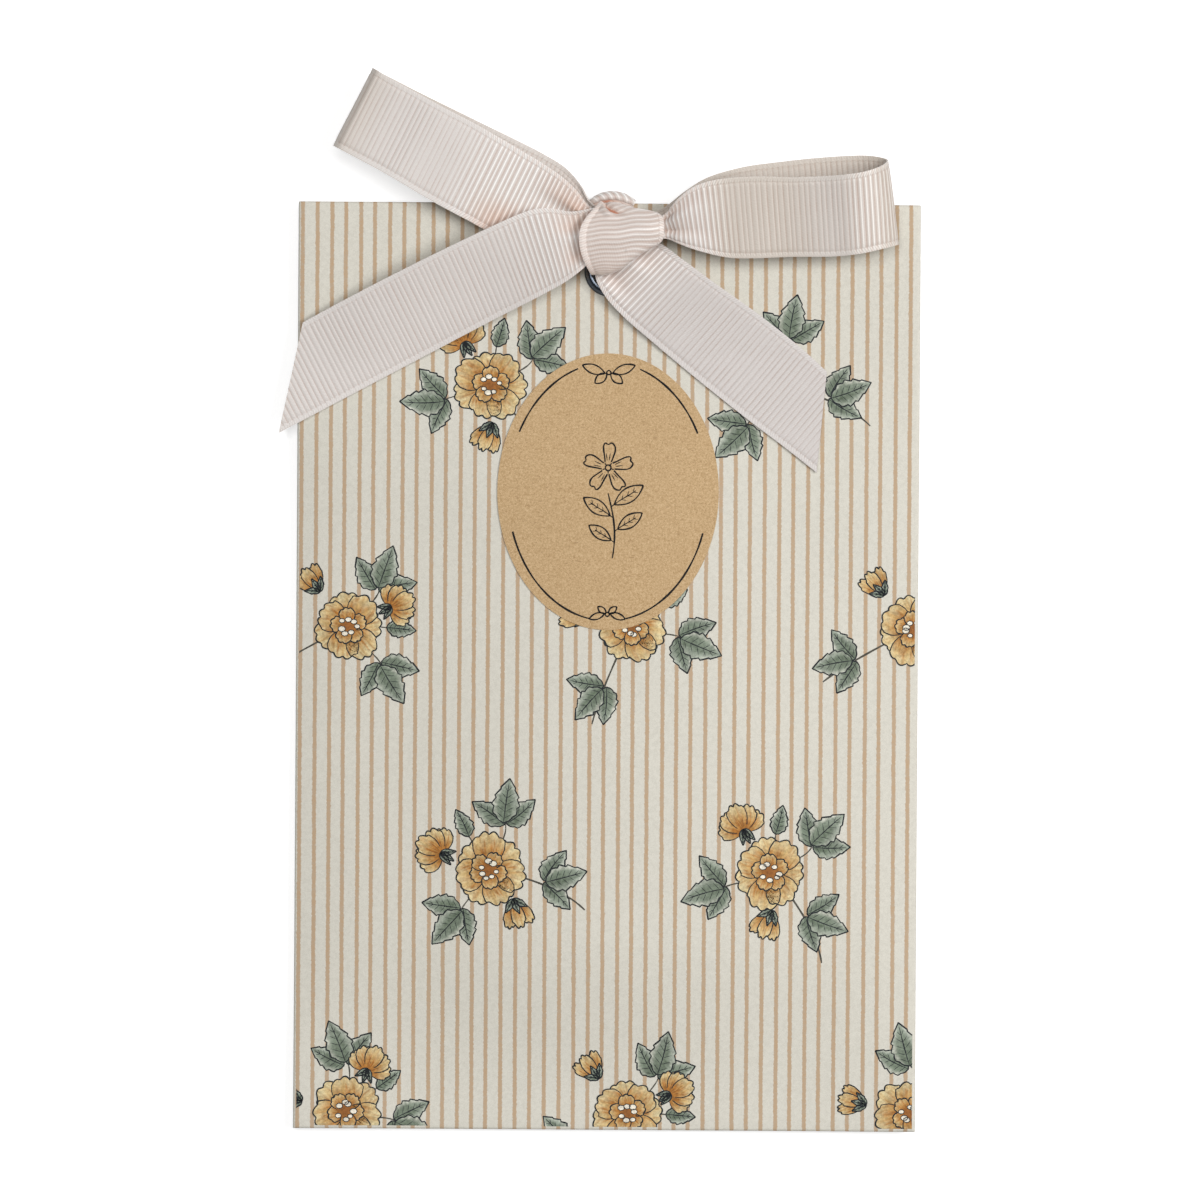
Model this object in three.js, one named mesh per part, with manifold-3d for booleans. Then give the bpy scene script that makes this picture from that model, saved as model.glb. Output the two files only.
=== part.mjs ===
// Scented sachet: a folded paper envelope with a pouch of scented grains, closed by an eyelet and a ribbon bow.
// Millimetres, +Z up. It lies on its back: +X is to the right of the printed face, +Y runs to the eyelet end,
// and the origin is the middle of the back's resting face.
import * as THREE from "three";
import { mergeVertices } from "three/addons/utils/BufferGeometryUtils.js";
import Module from "manifold-3d";

const wasm = await Module();
wasm.setup();

const { clamp, degToRad, smoothstep } = THREE.MathUtils;

// Envelope
const envelopeWidth = 110;
const envelopeHeight = 164;
const paper = 0.25;
const glueGap = 0.15;
const sideHem = 11;
const bottomHem = 14;
const topFlap = 23;
const mitreGap = 1;
const sheetCell = 8;

// How the filled envelope lies: flat in the middle of its back, lifted at its rims
const restWidth = 60;
const restTop = 16;
const restBottom = 50;
const sideLift = 1.6;
const bottomLift = 1.6;
const topLift = 3;
const closureDepth = 22;
const fillDepth = 6.2;
const fillTopRamp = 34;
const fillBottomRamp = 30;
const bottomSeam = 4;

// Inner pouch and its grains
const pouchWidth = 86;
const pouchHeadroom = 12;
const pouchFootroom = 14;
const pouchSheet = 0.15;
const pouchGap = 0.12;
const sealWidth = 3;
const pouchRamp = 12;
const fillInset = 8;
const fillGap = 0.3;
const fillRim = 0.4;
const grainPitch = 9;
const grainRelief = 0.4;

// Eyelet, pressed through the folded top
const eyeletDrop = 12;
const eyeletHole = 5;
const eyeletFlange = 9;
const eyeletRise = 0.7;
const eyeletWall = 0.3;
const eyeletClearance = 0.1;
const washerWidth = 8.6;
const washerThickness = 0.3;
const curlWidth = 1;
const curlDepth = 0.5;

// Label
const labelWidth = 39.2;
const labelHeight = 49;
const labelDrop = 10;
const labelSheet = 0.12;
const labelGap = 0.2;

// Ribbon
const ribbonWidth = 15;
const ribbon = 0.45;
const ribbonGap = 0.3;
const pleatDepth = 0.45;

// Strand that runs through the eyelet and over the top edge
const strandWidth = 7.8;
const strandThickness = 0.9;
const strandThroat = 4.1;
const strandGap = 0.15;

// Knot, above the eyelet
const knotLength = 14.6;
const knotHeight = 12.6;
const knotDepth = 6;
const knotRise = 6.2;
const knotShift = 1.9;

// Loops and tails, from the knot to their ends
const leftLoopLength = 45;
const leftLoopHeight = 4.6;
const leftLoopAngle = 153.7;
const rightLoopLength = 41;
const rightLoopHeight = 9;
const rightLoopAngle = 7.5;
const leftTailLength = 57;
const leftTailLift = 5.4;
const leftTailAngle = 207.5;
const rightTailLength = 48;
const rightTailLift = 2.4;
const rightTailAngle = -39.6;

// Values that follow from the sizes above
const foldRadius = paper + glueGap;
const halfWidth = envelopeWidth / 2 - foldRadius;
const halfHeight = envelopeHeight / 2 - foldRadius;
const closureLine = envelopeHeight / 2 - closureDepth;
const pouchTop = closureLine - pouchHeadroom;
const pouchBottom = envelopeHeight / 2 - pouchFootroom;
const eyeletPlace = envelopeHeight / 2 - eyeletDrop;
const labelRise = eyeletPlace - eyeletFlange / 2 - labelDrop - labelHeight / 2;
const backPlies = paper + glueGap;
const closureTop = topLift + backPlies + paper;
const flapUnder = topLift - backPlies;
const knotPlace = new THREE.Vector3(knotShift, eyeletPlace + knotRise, closureTop + ribbonGap + 2 * strandThickness);

// Height of the back panel's lower face, flat at zero where the sachet rests.
function backHeight(x, y) {
  const side = sideLift * smoothstep(Math.abs(x), restWidth / 2, envelopeWidth / 2);
  const top = topLift * smoothstep(y, restTop, closureLine);
  const bottom = bottomLift * smoothstep(-y, restBottom, envelopeHeight / 2);
  const end = Math.max(top, bottom);
  return side + end - (side * end) / Math.max(topLift, bottomLift, sideLift);
}

// How full the envelope is at a place: one in the middle, none at the seams and in the pressed top.
function fillShare(x, y) {
  const across = Math.max(0, 1 - (x / halfWidth) ** 2);
  const top = smoothstep(closureLine - y, 0, fillTopRamp);
  const bottom = smoothstep(y + halfHeight - bottomSeam, 0, fillBottomRamp);
  return across * top * bottom;
}

// Height of the front panel's lower face.
function frontHeight(x, y) {
  return backHeight(x, y) + backPlies + fillDepth * fillShare(x, y);
}

// Height of the printed face.
function faceHeight(x, y) {
  return frontHeight(x, y) + paper;
}

// Lines at the given stops, with the stretches between them parted evenly into cells.
function gridLines(stops, cell) {
  const sorted = [...new Set(stops)].sort((a, b) => a - b);
  const lines = [sorted[0]];
  for (let i = 1; i < sorted.length; i++) {
    const count = Math.max(1, Math.round((sorted[i] - sorted[i - 1]) / cell));
    for (let k = 1; k <= count; k++) lines.push(sorted[i - 1] + ((sorted[i] - sorted[i - 1]) * k) / count);
  }
  return lines;
}

// How far a hem's flat part reaches in from its fold.
function hemReach(hem) {
  return hem - foldRadius;
}

// Lines that every flat-lying sheet shares, so that stacked sheets keep their gaps between the lines too.
function sharedLines() {
  const pouchHalf = pouchWidth / 2;
  const columnStops = [halfWidth, halfWidth - hemReach(sideHem), pouchHalf, pouchHalf - sealWidth];
  columnStops.push(pouchHalf - fillInset, restWidth / 2);
  const columns = gridLines([...columnStops, ...columnStops.map((x) => -x), 0], sheetCell);
  const rowStops = [-halfHeight, hemReach(bottomHem) - halfHeight, -pouchBottom, sealWidth - pouchBottom];
  rowStops.push(fillInset - pouchBottom, -restBottom, 0, restTop, pouchTop - fillInset, pouchTop - sealWidth);
  rowStops.push(pouchTop, halfHeight - hemReach(topFlap), closureLine, halfHeight);
  return { columns, rows: gridLines(rowStops, sheetCell) };
}

const shared = sharedLines();

// The cell of some lines that a value is in, and how far across it.
function cellOf(lines, value) {
  const last = lines.length - 2;
  const found = lines.findIndex((line, i) => i > 0 && value <= line) - 1;
  const cell = found < 0 ? (value <= lines[0] ? 0 : last) : found;
  return [cell, clamp((value - lines[cell]) / (lines[cell + 1] - lines[cell]), 0, 1)];
}

// Height of the printed face as the front panel's flat facets give it.
function facetHeight(x, y) {
  const [c, u] = cellOf(shared.columns, x);
  const [r, v] = cellOf(shared.rows, y);
  const corner = (i, j) => faceHeight(shared.columns[c + j], shared.rows[r + i]);
  const near = corner(0, 0);
  const far = corner(1, 1);
  if (u >= v) return near + u * (corner(0, 1) - near) + v * (far - corner(0, 1));
  return near + v * (corner(1, 0) - near) + u * (far - corner(1, 0));
}

// The shared lines between two places.
function linesBetween(lines, low, high) {
  return lines.filter((v) => v >= low - glueGap / 2 && v <= high + glueGap / 2);
}

// A closed geometry from its places and faces, turned to face out.
function closedGeometry(positions, index) {
  let volume = 0;
  const corner = (i) => new THREE.Vector3().fromArray(positions, 3 * i);
  for (let i = 0; i < index.length; i += 3) {
    volume += corner(index[i]).dot(corner(index[i + 1]).cross(corner(index[i + 2])));
  }
  const faces = volume < 0 ? [...index].reverse() : index;
  const geometry = new THREE.BufferGeometry();
  geometry.setAttribute("position", new THREE.Float32BufferAttribute(positions, 3));
  geometry.setIndex(faces);
  return geometry;
}

// The cells of a grid whose four corners are all there.
function filledCells(grid) {
  const cells = [];
  for (let r = 0; r + 1 < grid.length; r++) {
    for (let c = 0; c + 1 < grid[r].length; c++) {
      const corners = [
        [r, c],
        [r, c + 1],
        [r + 1, c + 1],
        [r + 1, c],
      ];
      if (corners.every(([i, j]) => grid[i][j])) cells.push(corners);
    }
  }
  return cells;
}

// A solid between two grids of places, walled in along the rim of its cells.
function slabGeometry(upper, lower) {
  const cells = filledCells(upper);
  const columns = upper[0].length;
  const numbers = new Map();
  const positions = [];
  const numberOf = ([r, c]) => {
    const key = r * columns + c;
    if (!numbers.has(key)) {
      numbers.set(key, positions.length / 3);
      positions.push(...upper[r][c].toArray(), ...lower[r][c].toArray());
    }
    return numbers.get(key);
  };
  const index = [];
  const edges = new Map();
  for (const corners of cells) {
    const [a, b, c, d] = corners.map(numberOf);
    index.push(a, b, c, a, c, d, a + 1, c + 1, b + 1, a + 1, d + 1, c + 1);
    for (const [from, to] of [
      [a, b],
      [b, c],
      [c, d],
      [d, a],
    ]) {
      if (edges.has(`${to} ${from}`)) edges.delete(`${to} ${from}`);
      else edges.set(`${from} ${to}`, [from, to]);
    }
  }
  for (const [from, to] of edges.values()) index.push(from + 1, to + 1, to, from + 1, to, from);
  return closedGeometry(positions, index);
}

// The surface's direction at each place of a grid.
function gridNormals(grid) {
  const normals = grid.map((row) => row.map(() => new THREE.Vector3()));
  for (const corners of filledCells(grid)) {
    const [a, b, c, d] = corners.map(([i, j]) => grid[i][j]);
    const facing = c.clone().sub(a).cross(d.clone().sub(b));
    for (const [i, j] of corners) normals[i][j].add(facing);
  }
  for (const row of normals) row.forEach((n) => n.normalize());
  return normals;
}

// A sheet of a given thickness about a grid of places. The thickness may change from row to row.
function sheetGeometry(grid, thickness) {
  const normals = gridNormals(grid);
  const faceAt = (sign) =>
    grid.map((row, i) => {
      const half = (sign * (typeof thickness === "number" ? thickness : thickness[i])) / 2;
      return row.map((place, j) => place && place.clone().addScaledVector(normals[i][j], half));
    });
  return slabGeometry(faceAt(1), faceAt(-1));
}

// A sheet that follows a height at its lower face, over a grid of flat places.
function lyingSheet(flatGrid, lowerHeight, upperHeight) {
  const faceAt = (height) =>
    flatGrid.map((row) => row.map(([x, y]) => new THREE.Vector3(x, y, height(x, y))));
  return slabGeometry(faceAt(upperHeight), faceAt(lowerHeight));
}

// Flat places on the shared lines within a box.
function boxPlaces(left, right, bottom, top) {
  const columns = linesBetween(shared.columns, left, right);
  return linesBetween(shared.rows, bottom, top).map((y) => columns.map((x) => [x, y]));
}

function solidOf(geometry) {
  const merged = geometry.clone();
  merged.deleteAttribute("normal");
  merged.deleteAttribute("uv");
  const welded = mergeVertices(merged);
  const vertProperties = new Float32Array(welded.attributes.position.array);
  const triVerts = new Uint32Array(welded.index.array);
  return new wasm.Manifold(new wasm.Mesh({ numProp: 3, vertProperties, triVerts }));
}

function geometryOf(solid) {
  const { vertProperties, triVerts } = solid.getMesh();
  const geometry = new THREE.BufferGeometry();
  geometry.setAttribute("position", new THREE.Float32BufferAttribute(vertProperties, 3));
  geometry.setIndex([...triVerts]);
  return geometry;
}

const eyeletSides = 32;

// The round hole for the eyelet's tube, cut through a panel.
function pierced(geometry) {
  const radius = eyeletHole / 2 + eyeletWall + eyeletClearance;
  const cutter = new THREE.CylinderGeometry(radius, radius, envelopeWidth, eyeletSides);
  cutter.rotateX(Math.PI / 2).translate(0, eyeletPlace, 0);
  return geometryOf(solidOf(geometry).subtract(solidOf(cutter)));
}

// Unfolded places across the front sheet: the front, the two folds and the two hems, on the same lines.
function unfolded(lines, half, lowHem, highHem) {
  const foldSteps = 4;
  const bend = Math.PI * foldRadius;
  const bends = Array.from({ length: foldSteps }, (_, k) => ((k + 1) / foldSteps) * bend);
  const low = linesBetween(lines, -half, hemReach(lowHem) - half).slice(1);
  const high = linesBetween(lines, half - hemReach(highHem), half).slice(0, -1);
  const lowHemPlaces = low.reverse().map((v) => -half - bend - (v + half));
  const highHemPlaces = high.reverse().map((v) => half + bend + (half - v));
  const lowFold = bends.map((d) => -half - d).reverse();
  return [...lowHemPlaces, ...lowFold, ...lines, ...bends.map((d) => half + d), ...highHemPlaces];
}

// Where a sheet folded at half goes: how far in it lies, and how far round the fold it has turned.
function foldAt(value, half) {
  const past = Math.abs(value) - half;
  if (past <= 0) return { flat: value, turn: 0, inward: 0 };
  const turn = Math.min(Math.PI, past / foldRadius);
  const inward = Math.max(0, past - Math.PI * foldRadius);
  return { flat: Math.sign(value) * (half + foldRadius * Math.sin(turn) - inward), turn, inward };
}

// A place on the middle of the front sheet, by its unfolded coordinates.
function frontPlace(a, b) {
  const across = foldAt(a, halfWidth);
  const up = foldAt(b, halfHeight);
  if (across.turn && up.turn) return null;
  const turned = across.turn ? across : up;
  const mitre = turned.inward ? turned.inward + mitreGap : 0;
  const x = up.turn ? across.flat * (1 - mitre / halfWidth) : across.flat;
  const y = across.turn ? up.flat * (1 - mitre / halfHeight) : up.flat;
  if (turned.inward) return new THREE.Vector3(x, y, backHeight(x, y) - glueGap - paper / 2);
  const edge = frontHeight(clamp(a, -halfWidth, halfWidth), clamp(b, -halfHeight, halfHeight)) + paper / 2;
  return new THREE.Vector3(x, y, edge - foldRadius * (1 - Math.cos(turned.turn)));
}

function frontPanel() {
  const columns = unfolded(shared.columns, halfWidth, sideHem, sideHem);
  const rows = unfolded(shared.rows, halfHeight, bottomHem, topFlap);
  return pierced(sheetGeometry(rows.map((b) => columns.map((a) => frontPlace(a, b))), paper));
}

function backPanel() {
  const places = boxPlaces(-halfWidth, halfWidth, -halfHeight, halfHeight);
  return pierced(lyingSheet(places, backHeight, (x, y) => backHeight(x, y) + paper));
}

// Height of the pouch's back sheet, which lies on the back panel.
function pouchFloor(x, y) {
  return backHeight(x, y) + paper + pouchGap;
}

// Height of the pouch's front sheet: sealed to the back one at the rim, and pushed up to the paper inside it.
function pouchRoof(x, y) {
  const fromSide = pouchWidth / 2 - Math.abs(x);
  const fromEnd = Math.min(pouchTop - y, y + pouchBottom);
  const inside = smoothstep(Math.min(fromSide, fromEnd), sealWidth, pouchRamp);
  const sealed = pouchFloor(x, y) + pouchSheet + glueGap;
  const full = frontHeight(x, y) - pouchGap - pouchSheet;
  return sealed + inside * Math.max(0, full - sealed);
}

function pouchPlaces() {
  return boxPlaces(-pouchWidth / 2, pouchWidth / 2, -pouchBottom, pouchTop);
}

function innerPouchBack() {
  return lyingSheet(pouchPlaces(), pouchFloor, (x, y) => pouchFloor(x, y) + pouchSheet);
}

function innerPouchFront() {
  return lyingSheet(pouchPlaces(), pouchRoof, (x, y) => pouchRoof(x, y) + pouchSheet);
}

// The grains lie as one heap with an uneven top.
function granuleFill() {
  const half = pouchWidth / 2 - fillInset;
  const places = boxPlaces(-half, half, fillInset - pouchBottom, pouchTop - fillInset);
  const floor = (x, y) => pouchFloor(x, y) + pouchSheet + fillGap / 2;
  const roof = (x, y) => {
    const waves = Math.cos((x * Math.PI * 2) / grainPitch) * Math.cos((y * Math.PI * 2) / (grainPitch + sealWidth));
    const lumps = (grainRelief * (1 + waves)) / 2;
    return Math.max(pouchRoof(x, y) - fillGap - lumps, floor(x, y) + fillRim / 2);
  };
  return lyingSheet(places, floor, roof);
}

// A square of even cells drawn out to an oval about the label's middle.
function ovalLabel() {
  const cells = 10;
  const places = [];
  for (let i = 0; i <= cells; i++) {
    const v = (2 * i) / cells - 1;
    const row = [];
    for (let j = 0; j <= cells; j++) {
      const u = (2 * j) / cells - 1;
      const x = (labelWidth / 2) * u * Math.sqrt(1 - v ** 2 / 2);
      const y = (labelHeight / 2) * v * Math.sqrt(1 - u ** 2 / 2);
      row.push([x, labelRise + y]);
    }
    places.push(row);
  }
  const under = (x, y) => facetHeight(x, y) + labelGap;
  return lyingSheet(places, under, (x, y) => under(x, y) + labelSheet);
}

// A ring turned from a closed profile of [radius, height] pairs about the eyelet's axis.
function turnedRing(profile) {
  const points = [...profile, profile[0]].map(([r, z]) => new THREE.Vector2(r, z));
  const lathe = new THREE.LatheGeometry(points, eyeletSides);
  lathe.rotateX(Math.PI / 2).translate(0, eyeletPlace, 0);
  lathe.deleteAttribute("normal");
  lathe.deleteAttribute("uv");
  const welded = mergeVertices(lathe);
  return closedGeometry([...welded.attributes.position.array], [...welded.index.array]);
}

// Flange, tube and the curl that holds the washer.
function eyeletBarrel() {
  const inner = eyeletHole / 2;
  const outer = inner + eyeletWall;
  const flange = eyeletFlange / 2;
  const seat = closureTop + eyeletClearance;
  const washerUnder = flapUnder - eyeletClearance - washerThickness - eyeletClearance;
  const crown = seat + eyeletRise;
  return turnedRing([
    [inner, seat],
    [inner + eyeletWall, crown - eyeletWall],
    [(inner + flange) / 2, crown],
    [flange - eyeletWall, seat + eyeletRise / 2],
    [flange, seat],
    [outer, seat],
    [outer, washerUnder],
    [outer + curlWidth, washerUnder],
    [outer + curlWidth, washerUnder - curlDepth / 2],
    [outer + curlWidth / 2, washerUnder - curlDepth],
    [inner + eyeletWall / 2, washerUnder - curlDepth],
    [inner, washerUnder - curlDepth / 2],
  ]);
}

function eyeletWasher() {
  const top = flapUnder - eyeletClearance;
  const inner = eyeletHole / 2 + eyeletWall + eyeletClearance;
  return turnedRing([
    [inner, top],
    [inner, top - washerThickness],
    [washerWidth / 2 - washerThickness, top - washerThickness],
    [washerWidth / 2, top - washerThickness / 2],
    [washerWidth / 2, top],
  ]);
}

// The strand's route beside the top edge, seen from the side, with its share of the squeeze in the eyelet.
function hangerStrand() {
  const half = strandThickness / 2;
  const edge = envelopeHeight / 2;
  const front = closureTop + eyeletClearance + eyeletRise + strandGap + half;
  const curlUnder = flapUnder - 3 * eyeletClearance - washerThickness - curlDepth;
  const back = curlUnder - strandGap - half;
  const middle = (closureTop + flapUnder) / 2;
  const rim = eyeletPlace + washerWidth / 2;
  const route = [
    [knotPlace.y + knotHeight / 4, front, 0],
    [edge - strandThickness, front, 0],
    [edge + strandThickness, middle + strandThickness, 0],
    [edge + strandThickness, middle - strandThickness, 0],
    [edge - strandThickness, back + half, 0],
    [rim + half, back, 0],
    [eyeletPlace + strandThroat / 2, back, 1],
    [eyeletPlace, middle - strandThickness, 1],
    [eyeletPlace, middle, 1],
    [eyeletPlace, middle + strandThickness, 1],
    [eyeletPlace + strandThroat / 2, front, 1],
    [knotPlace.y - knotHeight / 8, front, 0],
  ];
  const curve = new THREE.CatmullRomCurve3(route.map(([y, z, squeeze]) => new THREE.Vector3(squeeze, y, z)));
  const steps = 36;
  const cells = 4;
  const thickness = [];
  const grid = [];
  for (let i = 0; i <= steps; i++) {
    const at = curve.getPoint(i / steps);
    const squeeze = clamp(at.x, 0, 1);
    const width = strandWidth + (strandThroat - strandWidth) * squeeze;
    thickness.push((strandThickness * strandWidth * (1 + squeeze)) / (strandWidth + squeeze * strandWidth));
    const row = [];
    for (let j = 0; j <= cells; j++) row.push(new THREE.Vector3(width * (j / cells - 1 / 2), at.y, at.z));
    grid.push(row);
  }
  return sheetGeometry(grid, thickness);
}

// The knot's outline from its left end to its right one, in shares of its size: place, top and bottom.
const knotOutlineShares = [
  [-0.5, 0.08, -0.14],
  [-0.47, 0.24, -0.34],
  [-0.39, 0.37, -0.5],
  [-0.26, 0.48, -0.52],
  [-0.1, 0.5, -0.46],
  [0.08, 0.47, -0.34],
  [0.26, 0.43, -0.2],
  [0.4, 0.36, -0.1],
  [0.48, 0.2, -0.04],
  [0.5, 0.1, 0],
];

// The wrap of ribbon over the bow, fuller at its left end and drawn in at its right one.
function bowKnot() {
  const sides = 20;
  const positions = [];
  const index = [];
  for (const [along, top, bottom] of knotOutlineShares) {
    const fullness = Math.sqrt(Math.max(0, 1 - (2 * along) ** 2 * (3 / 4))) * (1 - along / 4);
    for (let k = 0; k < sides; k++) {
      const angle = (2 * Math.PI * k) / sides;
      const y = (top + bottom) / 2 + ((top - bottom) / 2) * Math.cos(angle);
      const z = (fullness / 2) * Math.sin(angle);
      positions.push(knotPlace.x + along * knotLength, knotPlace.y + y * knotHeight);
      positions.push(knotPlace.z + (1 / 2 + z) * knotDepth);
    }
  }
  const rings = knotOutlineShares.length;
  for (let r = 0; r + 1 < rings; r++) {
    for (let k = 0; k < sides; k++) {
      const a = r * sides + k;
      const b = r * sides + ((k + 1) % sides);
      index.push(a, b, b + sides, a, b + sides, a + sides);
    }
  }
  for (let k = 1; k + 1 < sides; k++) {
    const last = (rings - 1) * sides;
    index.push(0, k + 1, k, last, last + k, last + k + 1);
  }
  return closedGeometry(positions, index);
}

// Makes places from shares along a ribbon's length, across its width and up its height, from its root.
function ribbonFrame(root, angle, side, length, height) {
  const turn = degToRad(angle);
  return ([along, across, up]) => {
    const s = along * length;
    const q = side * across * ribbonWidth;
    const x = root.x + s * Math.cos(turn) - q * Math.sin(turn);
    const y = root.y + s * Math.sin(turn) + q * Math.cos(turn);
    return new THREE.Vector3(x, y, root.z + up * height);
  };
}

// A ribbon between two rails, pleated where gathered says, and kept clear of the printed face.
function railedRibbon(upperRail, lowerRail, steps, gathered) {
  const cells = 8;
  const upper = new THREE.CatmullRomCurve3(upperRail);
  const lower = new THREE.CatmullRomCurve3(lowerRail);
  const grid = [];
  for (let i = 0; i <= steps; i++) {
    const a = upper.getPoint(i / steps);
    const b = lower.getPoint(i / steps);
    grid.push(Array.from({ length: cells + 1 }, (_, j) => a.clone().lerp(b, j / cells)));
  }
  const normals = gridNormals(grid);
  grid.forEach((row, i) => {
    const depth = pleatDepth * gathered(i / steps);
    row.forEach((place, j) => {
      place.addScaledVector(normals[i][j], depth * Math.cos((4 * Math.PI * j) / cells));
      place.z = Math.max(place.z, facetHeight(place.x, place.y) + ribbonGap + ribbon / 2);
    });
  });
  return sheetGeometry(grid, ribbon);
}

// A place beside the knot, in shares of its size, at the height of a ribbon's root.
function besideKnot(alongShare, upShare) {
  return new THREE.Vector3(
    knotPlace.x + alongShare * knotLength,
    knotPlace.y + upShare * knotHeight,
    closureTop + ribbonGap + ribbon / 2,
  );
}

const leftLoopUpperShares = [
  [0, 0.16, 0.98],
  [0.09, 0.32, 1.08],
  [0.24, 0.4, 1.04],
  [0.55, 0.45, 0.96],
  [0.9, 0.49, 0.94],
  [0.985, 0.51, 0.7],
  [0.99, 0.515, 0.36],
  [0.9, 0.52, 0.06],
  [0.55, 0.54, 0.04],
  [0.24, 0.5, 0.12],
  [0.09, 0.38, 0.26],
  [0, 0.2, 0.46],
];

const leftLoopLowerShares = [
  [0, -0.26, 0.9],
  [0.09, -0.44, 0.84],
  [0.24, -0.58, 0.78],
  [0.55, -0.56, 0.84],
  [0.9, -0.52, 0.88],
  [0.99, -0.515, 0.66],
  [0.995, -0.51, 0.34],
  [0.9, -0.5, 0.06],
  [0.55, -0.46, 0.02],
  [0.24, -0.44, 0.06],
  [0.09, -0.36, 0.2],
  [0, -0.22, 0.4],
];

function bowLoopLeft() {
  const frame = ribbonFrame(besideKnot(-0.5, 0.22), leftLoopAngle, -1, leftLoopLength, leftLoopHeight);
  const gathered = (t) => Math.max(smoothstep(-t, -0.16, 0), smoothstep(t, 0.84, 1));
  return railedRibbon(leftLoopUpperShares.map(frame), leftLoopLowerShares.map(frame), 38, gathered);
}

const rightLoopUpperShares = [
  [0, 0.18, 0.6],
  [0.12, 0.4, 0.78],
  [0.24, 0.5, 0.88],
  [0.42, 0.51, 0.96],
  [0.62, 0.42, 1],
  [0.84, 0.38, 0.98],
  [0.965, 0.45, 0.74],
  [0.99, 0.52, 0.44],
  [0.9, 0.58, 0.16],
  [0.7, 0.62, 0.06],
  [0.42, 0.63, 0.08],
  [0.2, 0.53, 0.14],
  [0, 0.26, 0.24],
];

const rightLoopLowerShares = [
  [0, -0.06, 0.52],
  [0.12, -0.28, 0.56],
  [0.24, -0.42, 0.62],
  [0.42, -0.48, 0.7],
  [0.62, -0.51, 0.76],
  [0.88, -0.56, 0.78],
  [0.985, -0.53, 0.56],
  [1, -0.5, 0.3],
  [0.9, -0.44, 0.08],
  [0.7, -0.4, 0.02],
  [0.42, -0.36, 0.04],
  [0.2, -0.26, 0.1],
  [0, -0.08, 0.2],
];

function bowLoopRight() {
  const frame = ribbonFrame(besideKnot(0.56, 0.08), rightLoopAngle, 1, rightLoopLength, rightLoopHeight);
  const gathered = (t) => Math.max(smoothstep(-t, -0.16, 0), smoothstep(t, 0.84, 1));
  return railedRibbon(rightLoopUpperShares.map(frame), rightLoopLowerShares.map(frame), 42, gathered);
}

const leftTailUpperShares = [
  [0, 0.26, 1.02],
  [0.06, 0.6, 1.1],
  [0.13, 0.67, 1.1],
  [0.27, 0.7, 1],
  [0.42, 0.7, 0.84],
  [0.65, 0.71, 0.5],
  [0.88, 0.71, 0.12],
];

const leftTailLowerShares = [
  [0.05, -0.27, 1.04],
  [0.1, -0.25, 0.94],
  [0.17, -0.24, 0.7],
  [0.35, -0.23, 0.3],
  [0.56, -0.23, 0.1],
  [0.82, -0.27, 0.04],
  [1.11, -0.36, 0],
];

function ribbonTailLeft() {
  const frame = ribbonFrame(besideKnot(-0.5, -0.09), leftTailAngle, -1, leftTailLength, leftTailLift);
  const gathered = (t) => smoothstep(-t, -0.2, 0);
  return railedRibbon(leftTailUpperShares.map(frame), leftTailLowerShares.map(frame), 26, gathered);
}

const rightTailUpperShares = [
  [0, 0.26, 0.7],
  [0.1, 0.38, 0.62],
  [0.24, 0.45, 0.4],
  [0.42, 0.49, 0.2],
  [0.6, 0.5, 0.1],
  [0.78, 0.5, 0.04],
];

const rightTailLowerShares = [
  [0, -0.28, 0.6],
  [0.08, -0.42, 0.5],
  [0.26, -0.5, 0.3],
  [0.5, -0.51, 0.1],
  [0.76, -0.51, 0],
  [1.02, -0.5, 0],
];

function ribbonTailRight() {
  const frame = ribbonFrame(besideKnot(0.1, -0.34), rightTailAngle, 1, rightTailLength, rightTailLift);
  const gathered = (t) => smoothstep(-t, -0.2, 0);
  return railedRibbon(rightTailUpperShares.map(frame), rightTailLowerShares.map(frame), 24, gathered);
}

function stripedPaper() {
  return new THREE.MeshStandardMaterial({ color: "#e6e1d2", roughness: 0.85, metalness: 0 });
}

function kraftPaper() {
  return new THREE.MeshStandardMaterial({ color: "#c0a179", roughness: 0.9, metalness: 0 });
}

function nonWoven() {
  return new THREE.MeshStandardMaterial({ color: "#f1efe9", roughness: 0.95, metalness: 0 });
}

function scentedGrain() {
  return new THREE.MeshStandardMaterial({ color: "#b08d5c", roughness: 0.9, metalness: 0 });
}

function darkNickel() {
  return new THREE.MeshStandardMaterial({ color: "#5d6673", roughness: 0.3, metalness: 0.9 });
}

function paleGrosgrain() {
  return new THREE.MeshStandardMaterial({ color: "#eadfd8", roughness: 0.6, metalness: 0 });
}

function part(name, geometry, material) {
  const mesh = new THREE.Mesh(geometry, material);
  mesh.name = name;
  return mesh;
}

function envelope() {
  const group = new THREE.Group();
  group.add(part("front_panel", frontPanel(), stripedPaper()));
  group.add(part("back_panel", backPanel(), stripedPaper()));
  group.add(part("oval_label", ovalLabel(), kraftPaper()));
  return group;
}

function filling() {
  const group = new THREE.Group();
  group.add(part("inner_pouch_back", innerPouchBack(), nonWoven()));
  group.add(part("inner_pouch_front", innerPouchFront(), nonWoven()));
  group.add(part("granule_fill", granuleFill(), scentedGrain()));
  return group;
}

function eyelet() {
  const group = new THREE.Group();
  group.add(part("eyelet_barrel", eyeletBarrel(), darkNickel()));
  group.add(part("eyelet_washer", eyeletWasher(), darkNickel()));
  return group;
}

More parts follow.
